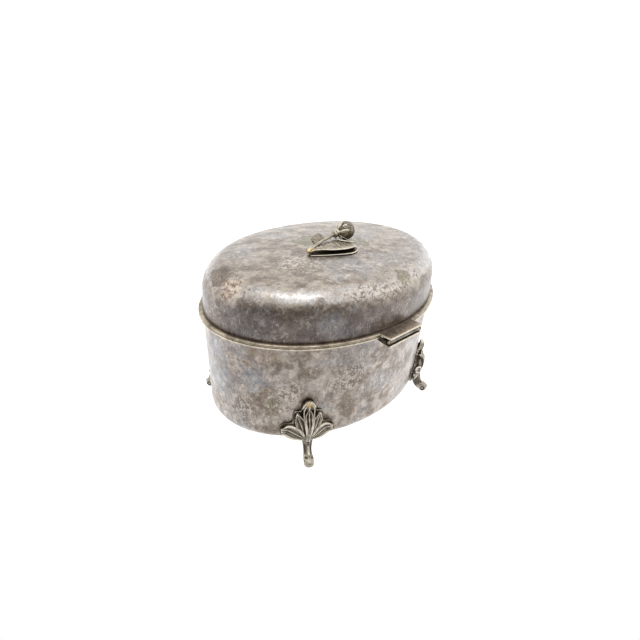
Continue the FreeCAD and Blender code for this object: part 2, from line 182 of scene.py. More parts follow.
def smooth_curve(points, count):
    """Evenly spaced points along a Catmull-Rom curve through the given ones."""
    knots = np.array(points, float)
    ends = np.vstack([2 * knots[0] - knots[1], knots, 2 * knots[-1] - knots[-2]])
    dense = []
    for k in range(len(knots) - 1):
        a, b, c, d = ends[k:k + 4]
        for t in np.linspace(0, 1, 12, endpoint=False):
            dense.append(0.5 * (2 * b + (c - a) * t + (2 * a - 5 * b + 4 * c - d) * t ** 2
                                + (3 * b - a - 3 * c + d) * t ** 3))
    dense.append(knots[-1])
    dense = np.array(dense)
    run = np.concatenate([[0], np.cumsum(np.linalg.norm(np.diff(dense, axis=0), axis=1))])
    wanted = np.linspace(0, run[-1], count)
    return np.stack([np.interp(wanted, run, dense[:, k]) for k in range(dense.shape[1])], axis=1)


def ease(value, low, high):
    """Smooth step from 0 at low to 1 at high."""
    t = np.clip((value - low) / (high - low), 0.0, 1.0)
    return t * t * (3 - 2 * t)


def unit_steps(path):
    """Direction of a path at each of its points."""
    step = np.gradient(path, axis=0)
    return step / np.linalg.norm(step, axis=1)[:, None]


def circle(count):
    """Cosine and sine of evenly spaced turns."""
    turns = [2 * math.pi * k / count for k in range(count)]
    return [(math.cos(turn), math.sin(turn)) for turn in turns]


def axes_about(axis):
    """An axis as a unit vector, and two more across it."""
    way = Vector(axis).normalized()
    side = way.cross(Vector((0, 0, 1))).normalized()
    return way, side, side.cross(way)


def loft(sections):
    """Points and faces of a tube with closed ends, through sections with the same number of points."""
    count = len(sections[0])
    last = (len(sections) - 1) * count
    points = [tuple(p) for section in sections for p in section]
    faces = []
    for row in range(0, last, count):
        for k in range(count):
            after = (k + 1) % count
            faces.append((row + k, row + after, row + count + after, row + count + k))
    faces.append(tuple(range(count)))
    faces.append(tuple(last + k for k in range(count)))
    return points, faces


def merge(parts):
    """One list of points and faces from several."""
    points = []
    faces = []
    for some_points, some_faces in parts:
        start = len(points)
        points.extend(some_points)
        faces.extend(tuple(start + k for k in face) for face in some_faces)
    return points, faces


# --- finishes ---

class Nodes:
    """A node tree with short calls for the nodes that the finishes and the studio share."""

    def __init__(self, tree):
        self.tree = tree

    def node(self, kind, inputs=(), **settings):
        """New node with its settings, and (input, value) pairs to feed."""
        made = self.tree.nodes.new("ShaderNode" + kind)
        for name, value in settings.items():
            setattr(made, name, value)
        for name, value in inputs:
            self.feed(made.inputs[name], value)
        return made

    def feed(self, socket, value):
        """Link an input to another node's output, or set it to a number, a place or a colour."""
        if isinstance(value, bpy.types.NodeSocket):
            self.tree.links.new(value, socket)
        elif socket.type == "RGBA":
            socket.default_value = (*value, 1.0)
        else:
            socket.default_value = value

    def math(self, operation, first, second):
        return self.node("Math", ((0, first), (1, second)), operation=operation).outputs[0]

    def times(self, first, second):
        return self.math("MULTIPLY", first, second)

    def either(self, first, second):
        return self.math("MAXIMUM", first, second)

    def step(self, value, low, high, floor=0.0, ceiling=1.0, curve="SMOOTHSTEP"):
        """Step of a value from floor at low to ceiling at high."""
        inputs = (("Value", value), ("From Min", low), ("From Max", high), ("To Min", floor),
                  ("To Max", ceiling))
        return self.node("MapRange", inputs, interpolation_type=curve).outputs["Result"]

    def length(self, vector):
        return self.node("VectorMath", ((0, vector),), operation="LENGTH").outputs["Value"]

    def toward(self, vector, azimuth):
        """How far a vector reaches towards an azimuth in radians."""
        way = (math.cos(azimuth), math.sin(azimuth), 0.0)
        return self.node("VectorMath", ((0, vector), (1, way)), operation="DOT_PRODUCT").outputs["Value"]

    def split(self, vector, axis):
        return self.node("SeparateXYZ", ((0, vector),)).outputs[axis]


def each_way(size):
    """A size along each axis, from one size or three."""
    return size if isinstance(size, tuple) else (size, size, size)


class Finish(Nodes):
    """A material laid out in millimetres round the centre of the oval."""

    def __init__(self, name):
        self.material = bpy.data.materials.new(name)
        self.material.use_nodes = True
        super().__init__(self.material.node_tree)
        self.shader = self.tree.nodes["Principled BSDF"]
        here = self.node("TexCoord").outputs["Object"]
        inputs = (("Vector", here), ("Location", -OVAL), ("Scale", each_way(1 / MM)))
        self.place = self.node("Mapping", inputs).outputs["Vector"]

    def set(self, name, value):
        self.feed(self.shader.inputs[name], value)

    def metal(self, colour, rough, normal):
        """Set the shader to a metal and return the finished material."""
        self.set("Base Color", colour)
        self.set("Metallic", 1.0)
        self.set("Roughness", rough)
        self.set("Normal", normal)
        return self.material

    def scaled(self, size, turn=0.0):
        """Coordinates divided by a feature size in millimetres, which may differ along each axis."""
        inputs = (("Vector", self.place), ("Rotation", (0.0, 0.0, turn)), ("Scale", each_way(size)))
        return self.node("Mapping", inputs, vector_type="TEXTURE").outputs["Vector"]

    def noise(self, size, detail, rough, distortion=0.0, turn=0.0):
        inputs = (("Vector", self.scaled(size, turn)), ("Scale", 1.0), ("Detail", detail),
                  ("Roughness", rough), ("Distortion", distortion))
        return self.node("TexNoise", inputs).outputs["Fac"]

    def mix(self, share, first, second, blend="MIX"):
        inputs = ((0, share), (6, first), (7, second))
        return self.node("Mix", inputs, data_type="RGBA", blend_type=blend).outputs[2]

    def over(self, colour, tint, mask, share):
        """A tint laid over a colour where a mask says, at most by a share."""
        return self.mix(self.times(mask, share), colour, tint)

    def grey(self, value, low, high):
        """A number that runs from low to high over the usual range of a noise."""
        return self.step(value, NOISE_LOW, NOISE_HIGH, low, high, "LINEAR")

    def mottled(self, colour, value, swing, share=1.0):
        """A colour made darker and lighter by a swing, as a noise goes down and up."""
        return self.mix(share, colour, self.grey(value, 1 - swing, 1 + swing), "MULTIPLY")

    def dots(self, spacing, radius):
        """Mask of scattered round pits, in millimetres."""
        cells = self.node("TexVoronoi", (("Vector", self.scaled(spacing)), ("Scale", 1.0)))
        return self.step(self.times(cells.outputs["Distance"], spacing), radius, radius * 0.4)

    def along(self, axis):
        """Position along X, Y or Z in millimetres."""
        return self.split(self.place, axis)

    def spot(self, centre, reach, ragged, soft=0.45):
        """Mask of a ragged patch round a point; reach is its radius, or one along each axis."""
        sizes = each_way(reach)
        inputs = (("Vector", self.place), ("Location", [-c / r for c, r in zip(centre, sizes)]),
                  ("Scale", [1 / r for r in sizes]))
        away = self.length(self.node("Mapping", inputs).outputs["Vector"])
        wobble = self.times(self.math("SUBTRACT", ragged, 0.5), SPOT_WOBBLE)
        return self.step(self.math("ADD", away, wobble), 1 + soft, 1 - soft)

    def dirt_and_shade(self, reach, start, end):
        """Mask of the creases, by ambient occlusion, for dirt and painted shade: 1 in a crease narrower than
        reach, 0 in the open.
        """
        crease = self.node("AmbientOcclusion", (("Distance", reach * MM),), samples=8)
        return self.step(crease.outputs["AO"], end, start)

    def bump(self, height, depth, strength, under=None):
        """Normals of a relief in millimetres, on top of another relief if one is given."""
        inputs = [("Height", height), ("Distance", depth * MM), ("Strength", strength)]
        if under is not None:
            inputs.append(("Normal", under))
        return self.node("Bump", inputs).outputs["Normal"]


NOISE_LOW = 0.32
NOISE_HIGH = 0.68
SPOT_WOBBLE = 3.2                   # raggedness of a patch's edge, as a share of its radius

PALE = (0.410, 0.366, 0.330)
LID_PLATE = (0.405, 0.352, 0.296)
WARM = (0.185, 0.145, 0.115)
COOL = (0.27, 0.275, 0.29)
OLIVE = (0.16, 0.14, 0.08)
BROWN = (0.12, 0.085, 0.06)
# SOOT_AND_SHADE and GRIME_AND_SHADE darken creases, recesses and shaded places as dirt and painted shade;
# GRIME_AND_SHADE also fills the real pits.
SOOT_AND_SHADE = (0.02, 0.018, 0.016)
RUST = (0.30, 0.17, 0.08)
GRIME_AND_SHADE = (0.045, 0.036, 0.026)
BRASS = (0.62, 0.46, 0.20)
CREAM = (0.78, 0.71, 0.58)
PINK = (0.55, 0.48, 0.43)
TAN = (0.46, 0.34, 0.25)
BARE = (0.66, 0.60, 0.54)
# bare silver of the rubbed band on the lid's shoulder, brightened partly as a painted highlight
RUBBED_HIGHLIGHT = (0.52, 0.505, 0.49)
# pale of the cast ridges, partly rubbed plate and partly a painted highlight
RIDGE_HIGHLIGHT = (0.66, 0.60, 0.50)
FILM = 0.45                         # weight and roughness of the old film of lacquer and handling
FILM_ROUGH = 0.30
SHEET_ROUGH = 0.34
INNER_ROUGH = 0.46
WALL_DIM = (0.54, 0.52, 0.54)       # darker, more even tarnish on the lid's wall, partly a painted dark reflection
WALL_TONE = (0.155, 0.132, 0.126)
WALL_SHARE = 0.45
WALL_DARK_Z = 63.5                  # it is full below the first height and gone above the second
WALL_CLEAR_Z = 71.5
RUB_LOW = (70.0, 71.8)              # heights over which the rubbed band on the lid's shoulder, partly a painted highlight, comes in and fades out again
RUB_HIGH = (76.0, 74.0)             # comes in and fades out again
RUB_GLOSS = 0.16                    # how much smoother it is
WIPE_TURN = math.radians(-38.0)     # direction of the polishing streaks over the lid
SCRATCH_TURN = math.radians(24.0)


def local_stains(f, colour, patches, ragged, fine):
    """Ragged patches of other colours, given as (centre, reach, colour, share)."""
    for centre, reach, tint, share in patches:
        peeled = f.times(f.grey(fine, 1.3, 0.5), share)
        colour = f.over(colour, tint, f.spot(centre, reach, ragged, 0.22), peeled)
    return colour


def peppering(f, colour, peppered, ragged, fine, coarse):
    """Dark specks and bare glints, thick at the peppered places, given as (centre, reach)."""
    crowd = f.times(f.step(f.noise(11.0, 2.0, 0.5), 0.50, 0.62), 0.6)
    for centre, reach in peppered:
        crowd = f.either(crowd, f.spot(centre, reach, ragged, 0.4))
    specks = f.either(f.step(fine, 0.54, 0.58), f.step(coarse, 0.525, 0.555))
    colour = f.over(colour, BROWN, f.times(specks, crowd), 0.85)
    glints = f.either(f.step(fine, 0.44, 0.40), f.step(coarse, 0.465, 0.44))
    shiny = f.either(crowd, f.times(f.step(ragged, 0.54, 0.60), 0.6))
    return f.over(colour, BARE, f.times(glints, shiny), 0.65)


def lid_wear(f, colour, ragged):
    """Polishing streaks, a rubbed band that is partly a painted highlight, and a wall darkened by tarnish
    and a painted dark reflection, over the lid's colour; the band's mask as well.
    """
    wipe = f.noise((6.0, 0.8, 6.0), 7.0, 0.76, 0.0, WIPE_TURN)
    colour = f.mottled(colour, wipe, 0.45, 0.45)
    height = f.along("Z")
    # Rubbed band where the shoulder's highlight falls, partly a painted highlight.
    band = f.times(f.step(height, *RUB_LOW), f.step(height, *RUB_HIGH))
    rubbed_highlight = f.times(band, f.step(ragged, 0.56, 0.46, 0.25, 0.85))
    colour = f.mix(rubbed_highlight, colour, RUBBED_HIGHLIGHT)
    # Darker wall: tarnish, and partly a painted dark reflection.
    wall = f.step(height, WALL_CLEAR_Z, WALL_DARK_Z)
    colour = f.mix(wall, colour, WALL_DIM, "MULTIPLY")
    return f.over(colour, WALL_TONE, wall, WALL_SHARE), rubbed_highlight


def surface_marks(f, colour, pits, broad):
    """Filled pits, bright scratches, and dirt with painted shade in the creases."""
    colour = f.over(colour, GRIME_AND_SHADE, pits, 0.85)
    streaks = f.noise((5.0, 0.22, 3.0), 3.0, 0.6, 0.0, SCRATCH_TURN)
    scratches = f.times(f.step(streaks, 0.62, 0.66), f.step(broad, 0.45, 0.60))
    colour = f.over(colour, BARE, scratches, 0.65)
    return f.over(colour, GRIME_AND_SHADE, f.dirt_and_shade(1.6, 0.35, 0.85), 0.85)


def tarnished_sheet(name, plate, patches=(), peppered=(), of_lid=False, rough=SHEET_ROUGH):
    """Old silver plate on sheet: mottling, crusts, specks, scratches, local stains, and dirt with painted
    shade in the creases.

    The lid's has polishing streaks, a rubbed band on the shoulder that is partly a painted highlight, and a
    wall darkened partly by tarnish and partly by a painted dark reflection as well.
    """
    f = Finish(name)
    broad = f.noise(17.0, 3.0, 0.5)
    ragged = f.noise(3.4, 8.0, 0.72)
    coarse = f.noise(1.9, 7.0, 0.80)
    fine = f.noise(1.0, 5.0, 0.75)
    if of_lid:
        middle = f.noise((7.5, 4.8, 5.0), 10.0, 0.76, 0.0, WIPE_TURN)
    else:
        middle = f.noise((6.0, 6.0, 7.0), 9.0, 0.70)
    colour = f.mix(f.step(middle, 0.41, 0.59), plate, WARM)
    colour = f.over(colour, COOL, f.step(broad, 0.50, 0.60), 0.55)
    stain = f.times(f.step(ragged, 0.53, 0.59), f.step(broad, 0.52, 0.40))
    colour = f.over(colour, OLIVE, stain, 0.42)
    flecks = f.times(f.step(f.noise(1.6, 6.0, 0.78), 0.53, 0.57), f.step(broad, 0.42, 0.56))
    colour = f.over(colour, PINK, flecks, 0.5)
    vein = f.step(f.math("ABSOLUTE", f.math("SUBTRACT", ragged, 0.51), 0.0), 0.022, 0.006)
    colour = f.over(colour, BROWN, vein, f.grey(broad, 0.15, 0.55))
    dull = f.math("ADD", f.times(stain, 0.14), f.times(flecks, 0.16))
    gloss = f.math("ADD", f.grey(middle, rough - 0.05, rough + 0.08), dull)
    if of_lid:
        colour, rubbed_highlight = lid_wear(f, colour, ragged)
        gloss = f.math("SUBTRACT", gloss, f.times(rubbed_highlight, RUB_GLOSS))
    colour = local_stains(f, colour, patches, ragged, fine)
    for grain, swing in ((ragged, 0.38), (coarse, 0.36), (fine, 0.20)):
        colour = f.mottled(colour, grain, swing)
    colour = peppering(f, colour, peppered, ragged, fine, coarse)
    pits = f.times(f.dots(5.6, 0.40), f.step(middle, 0.42, 0.54))
    colour = surface_marks(f, colour, pits, broad)
    normal = None
    for relief, depth, strength in ((middle, 0.10, 0.35), (coarse, 0.05, 0.6), (fine, 0.02, 0.4),
                                    (pits, -0.05, 0.8)):
        normal = f.bump(relief, depth, strength, normal)
    f.set("Coat Weight", FILM)
    f.set("Coat Roughness", FILM_ROUGH)
    return f.metal(colour, gloss, normal)


def rubbed_bead(name, bright, dull, crease):
    """Rim bead: plate rubbed bright, warm where brass shows through, dirt and painted shade in hollows up to
    a crease wide; on the body's bead the bright colour is partly a painted highlight.
    """
    f = Finish(name)
    middle = f.noise(6.0, 4.0, 0.6, 0.5)
    fine = f.noise(0.9, 4.0, 0.7)
    colour = f.mottled(f.mix(f.step(middle, 0.35, 0.65), bright, dull), fine, 0.25)
    colour = f.mix(f.dirt_and_shade(crease, 0.30, 0.80), colour, GRIME_AND_SHADE)
    return f.metal(colour, f.grey(middle, 0.28, 0.42), f.bump(fine, 0.02, 0.4))


def worn_leaf(name, face, edge_tint=CREAM):
    """Hinge leaves: dull plate with edges rubbed through to pale brass, dirt and painted shade in the gaps,
    and a painted shadow on the lower leaf's end faces.
    """
    f = Finish(name)
    middle = f.noise(3.2, 6.0, 0.65)
    fine = f.noise(0.7, 4.0, 0.7)
    dull = tuple(c * 0.5 for c in face)
    colour = f.mottled(f.mix(f.step(middle, 0.40, 0.62), face, dull), fine, 0.30)
    colour = f.mottled(colour, f.noise((7.0, 0.4, 1.0), 4.0, 0.7), 0.20)
    face_y = AXIS_Y + LEAF_REACH
    front = f.step(f.along("Y"), face_y - 0.45, face_y - 0.20)
    ends = f.either(f.step(f.along("X"), HINGE_RIGHT - 0.40, HINGE_RIGHT - 0.15),
                    f.step(f.along("X"), HINGE_LEFT + 0.40, HINGE_LEFT + 0.15))
    upper = f.step(f.along("Z"), UPPER_ROOT - 0.1, UPPER_ROOT)
    # The lower leaf's end faces are painted dark as shadow.
    shadowed_ends = f.times(ends, f.math("SUBTRACT", 1.0, upper))
    worn = f.either(front, f.times(ends, upper))
    colour = f.over(colour, GRIME_AND_SHADE, shadowed_ends, 0.80)
    colour = f.over(colour, edge_tint, worn, f.grey(fine, 0.5, 1.0))
    colour = f.mix(f.dirt_and_shade(1.0, 0.25, 0.75), colour, SOOT_AND_SHADE)
    return f.metal(colour, f.grey(middle, 0.34, 0.52), f.bump(fine, 0.03, 0.6))


def cast_silver(name, face, brass_spots=(), crests=False, shade=None, ridge=RIDGE_HIGHLIGHT):
    """Cast pieces: black in the recesses from dirt and painted shade, pale on the ridges from rubbing and a
    painted highlight, brass where rubbed through.

    Brass spots and the painted shade are (centre, radius).
    """
    f = Finish(name)
    middle = f.noise(2.6, 6.0, 0.65)
    fine = f.noise(0.6, 4.0, 0.7)
    dull = tuple(c * 0.55 for c in face)
    colour = f.mix(f.step(middle, 0.38, 0.64), face, dull)
    # Crest values, or pointiness without them, paint the ridges pale as a highlight and the grooves dark as
    # shade.
    if crests:
        crest = f.node("Attribute", attribute_name="crest").outputs["Fac"]
        colour = f.mix(f.step(crest, 0.00, 0.30), colour, ridge)
        colour = f.mix(f.step(crest, -0.06, -0.30), colour, GRIME_AND_SHADE)
    else:
        point = f.node("NewGeometry").outputs["Pointiness"]
        colour = f.mix(f.step(point, 0.51, 0.56), colour, ridge)
    for centre, radius in brass_spots:
        colour = f.over(colour, BRASS, f.spot(centre, radius, middle), 0.9)
    # Painted shade on the side of the bud away from the light.
    if shade:
        colour = f.over(colour, GRIME_AND_SHADE, f.spot(*shade, middle, 0.6), 0.75)
    colour = f.mottled(colour, fine, 0.25)
    colour = f.over(colour, SOOT_AND_SHADE, f.dirt_and_shade(1.1, 0.40, 0.85), 0.85)
    return f.metal(colour, f.grey(middle, 0.26, 0.42), f.bump(fine, 0.025, 0.5))


def bare_brass(name, bright, dull):
    """Turned brass of the fixings and the hinge pin, dulled by age."""
    f = Finish(name)
    middle = f.noise(2.0, 4.0, 0.6, 0.4)
    fine = f.noise((0.25, 0.25, 2.0), 3.0, 0.6)
    colour = f.mottled(f.mix(f.step(middle, 0.38, 0.66), bright, dull), fine, 0.20)
    return f.metal(colour, f.grey(middle, 0.30, 0.48), f.bump(fine, 0.015, 0.4))


# --- shells ---

def wall_inset(z):
    """Inset of the body's tapered wall at a height."""
    return LEDGE + WALL_TAPER * (MOUTH_Z - z) / (MOUTH_Z - BASE_Z - EDGE_R)


def oval_point(station, turn):
    """Point of an (inset, z, scale) station at an ellipse parameter."""
    inset, z, scale = station
    return Vector(((RIM_A - inset) * scale * math.cos(turn), (RIM_B - inset) * scale * math.sin(turn), z))


def dent(spot):
    """Unevenness of the sheet at a point: broad waves and a few smaller knocks."""
    broad = noise.noise(spot / DENT_SIZE + Vector((3.1, 0.0, 0.0)))
    small = noise.noise(spot / (DENT_SIZE * KNOCK_SIZE) + Vector((0.0, 7.7, 0.0)))
    return DENT_DEPTH * (broad + KNOCK_DEPTH * small)


def body_profile(gauge):
    """Stations of the body from mouth to the middle of the floor, with how much each may be dented."""
    foot_z = BASE_Z + EDGE_R
    stations = []
    for k in range(WALL_STEPS):
        z = MOUTH_Z + (foot_z - MOUTH_Z) * k / WALL_STEPS
        free = ease(MOUTH_Z - z, 3.0, 12.0)
        stations.append(((wall_inset(z) + gauge, z, 1.0), free))
    radius = EDGE_R - gauge
    inset = wall_inset(foot_z) + gauge
    for k in range(EDGE_STEPS + 1):
        turn = math.pi / 2 * k / EDGE_STEPS
        station = (inset + radius * (1 - math.cos(turn)), foot_z - radius * math.sin(turn), 1.0)
        stations.append((station, 1.0 - 0.6 * k / EDGE_STEPS))
    rim = stations[-1][0]
    for k in range(1, FLOOR_STEPS + 1):
        scale = 1 - k / FLOOR_STEPS * SHRINK
        stations.append(((rim[0], rim[1], scale), 0.4))
    return stations


def lid_profile(gauge):
    """Stations of the lid from its lower edge to the middle of its crown."""
    stations = []
    for k in range(LID_WALL_STEPS):
        z = LID_LOW + (LID_WALL_TOP - LID_LOW) * k / LID_WALL_STEPS
        stations.append(((LEDGE + gauge, z, 1.0), ease(z - LID_LOW, 2.0, 8.0)))
    for k in range(SHOULDER_STEPS + 1):
        turn = SHOULDER_END * k / SHOULDER_STEPS
        inset = LEDGE + gauge + (SHOULDER_IN - gauge) * (1 - math.cos(turn))
        stations.append(((inset, LID_WALL_TOP + (SHOULDER_UP - gauge) * math.sin(turn), 1.0), 1.0))
    rim = stations[-1][0]
    for k in range(1, CROWN_STEPS + 1):
        scale = 1 - k / CROWN_STEPS * SHRINK
        z = rim[1] + CROWN * (1 - scale ** 2)
        stations.append(((rim[0], z, scale), ease(scale, 0.35, 0.6)))
    return stations


def sheet_shell(name, profile):
    """Closed sheet-metal shell: an outer and an inner skin with the same dents, joined at the mouth."""
    skins = []
    for gauge in (0.0, SHEET):
        rings = []
        for station, free in profile(gauge):
            ring = []
            for k in range(AROUND):
                turn = 2 * math.pi * k / AROUND
                spot = oval_point(station, turn)
                outward = Vector((math.cos(turn) / RIM_A, math.sin(turn) / RIM_B, 0)).normalized()
                flat = ease(1.0 - station[2], 0.0, 0.15)
                lift = Vector((0, 0, 1 if profile is lid_profile else -1))
                way = (outward * (1 - flat) + lift * flat).normalized()
                ring.append(spot + way * dent(spot) * free)
            rings.append(ring)
        skins.append(rings)
    outer, inner = skins
    return make_object(name, *loft(outer[::-1] + inner))


# --- feet ---

class FootSpot:
    """Maps (side, out, z) of one foot, in millimetres, on to the tapered oval wall."""

    def __init__(self, angle):
        half_long = RIM_A - LEDGE - WALL_TAPER
        half_short = RIM_B - LEDGE - WALL_TAPER
        self.spot = np.array([half_long * math.cos(angle), half_short * math.sin(angle)])
        out = np.array([math.cos(angle) / half_long, math.sin(angle) / half_short])
        self.out = out / np.linalg.norm(out)
        self.side = np.array([-self.out[1], self.out[0]])
        self.turns = np.linspace(0.3, 1.45, 240)

    def on_wall(self, side, out, z):
        """Points that stand a distance off the wall, at a sideways distance from the foot's middle."""
        result = np.zeros((len(side), 3))
        for k, (s, o, h) in enumerate(zip(side, out, z)):
            inset = wall_inset(h)
            track = np.stack([(RIM_A - inset) * np.cos(self.turns), (RIM_B - inset) * np.sin(self.turns)], 1)
            across = (track - self.spot) @ self.side
            turn = np.interp(s, across, self.turns)
            point = np.array([(RIM_A - inset) * math.cos(turn), (RIM_B - inset) * math.sin(turn)])
            normal = np.array([math.cos(turn) / (RIM_A - inset), math.sin(turn) / (RIM_B - inset)])
            point = point + normal / np.linalg.norm(normal) * o
            result[k] = (*point, h)
        return result

    def free(self, side, out, z):
        """A point in the foot's own straight axes."""
        point = self.spot + self.side * side + self.out * out
        return (point[0], point[1], z)


# Each lobe: its midrib from root to tip as (side, z), half width at its widest, where along the midrib
# that is, how high its tip curls out, how many side veins it has, and how far it lies over its neighbours.
CENTRE_LOBE = dict(rib=[(0.3, 9.0), (0.1, 16.0), (0.0, 22.5), (0.0, 28.5)], belly=2.45, widest=0.76,
                   curl=0.9, veins=1, front=0.65)
INNER_LOBE = dict(rib=[(0.2, 12.0), (0.1, 17.0), (0.0, 21.0), (0.0, 24.8)], belly=1.65, widest=0.72,
                  curl=0.4, veins=1, front=0.85)
MIDDLE_LOBE = dict(rib=[(0.6, 9.2), (2.1, 13.8), (3.5, 18.4), (4.7, 23.0)], belly=2.0, widest=0.62,
                   curl=0.9, veins=1, front=0.25)
SIDE_LOBE = dict(rib=[(0.8, 9.0), (4.2, 11.6), (7.8, 13.7), (11.0, 14.8)], belly=3.5, widest=0.50,
                 curl=0.8, veins=3, front=0.0)
BORDER = 0.50            # thin plate that shows round the lobes
WEB = 1.1                # how far the plate closes the gaps between lobes
BULGE = [(4.0, 1.2), (7.0, 2.0), (9.5, 2.7), (13.0, 3.3), (16.0, 3.3), (18.5, 2.8), (21.5, 1.3), (25.0, 0.4),
         (29.0, 0.3), (33.0, 0.3)]     # (z, how far the leaf's middle stands out)
BULGE_SIDE = 5.2         # the bulge fades sideways over this distance
LEAN = 0.5               # the bulge rises by this share of its depth
TIP_FREE = 22.5          # the leaf's tip starts to lift off the wall at this height
TIP_LIFT = 1.5
TIP_THICK = 1.2
CREST_REACH = 0.9        # the relief's ridges and grooves are told apart over this distance


def along_rib(lobe, mirror, side, z):
    """Share along a lobe's midrib and distance across it, over a grid of side and z, and its length."""
    rib = smooth_curve(lobe["rib"], 60)
    rib[:, 0] *= mirror
    step = unit_steps(rib)
    run = np.linspace(0, 1, len(rib))
    gap = np.stack([side[..., None] - rib[:, 0], z[..., None] - rib[:, 1]], -1)
    nearest = np.argmin((gap ** 2).sum(-1), axis=-1)
    pick = np.take_along_axis(gap, nearest[..., None, None], axis=-2)[..., 0, :]
    along = (pick * step[nearest]).sum(-1)
    across = pick[..., 0] * step[nearest][..., 1] - pick[..., 1] * step[nearest][..., 0]
    length = np.linalg.norm(np.diff(rib, axis=0), axis=1).sum()
    return run[nearest] + along / length, across, length


def lobe_width(lobe, t):
    """Half width of a lobe at a share along its midrib."""
    widest = lobe["widest"]
    rise = np.clip(t / widest, 0, 1)
    fall = np.clip((t - widest) / (1.0 - widest), 0, 1)
    width = lobe["belly"] * (0.20 + 0.80 * np.sin(rise * math.pi / 2) ** 1.3) * np.sqrt(
        np.clip(1 - fall ** 2.0, 0, 1))
    return np.maximum(width, 1e-3)


def lobe_relief(lobe, mirror, side, z):
    """Height of one lobe over a grid of side and z, below zero outside it."""
    t, across, length = along_rib(lobe, mirror, side, z)
    width = lobe_width(lobe, t)
    v = np.abs(across / width)
    edge = np.minimum(width - np.abs(across), (1.0 - t) * length)
    inside = (edge > 0) & (t > -0.02)
    vein = 0.55 * np.exp(-(v / 0.15) ** 2)
    rim = 0.55 * np.exp(-((v - 0.84) / 0.16) ** 2)
    for k in range(1, lobe["veins"]):
        vein = vein + 0.38 * np.exp(-((v - 0.20 - 0.25 * k) / 0.09) ** 2)
    cup = -0.60 * (1 - v ** 2)
    height = 1.15 + lobe["front"] + (vein + rim + cup) * ease(t, 0.02, 0.25)
    height = height + lobe["curl"] * ease(t, 0.70, 0.92)
    height = height - 0.7 * np.clip(1 - edge / 0.35, 0, 1) ** 2
    return np.where(inside, height, -1.0)


def spread(mask, radius):
    """Mask grown by a radius in millimetres."""
    reach = int(radius / LEAF_GRID)
    grown = mask.copy()
    for r in range(-reach, reach + 1):
        for c in range(-reach, reach + 1):
            if r * r + c * c <= reach * reach:
                grown |= np.roll(np.roll(mask, r, axis=0), c, axis=1)
    return grown


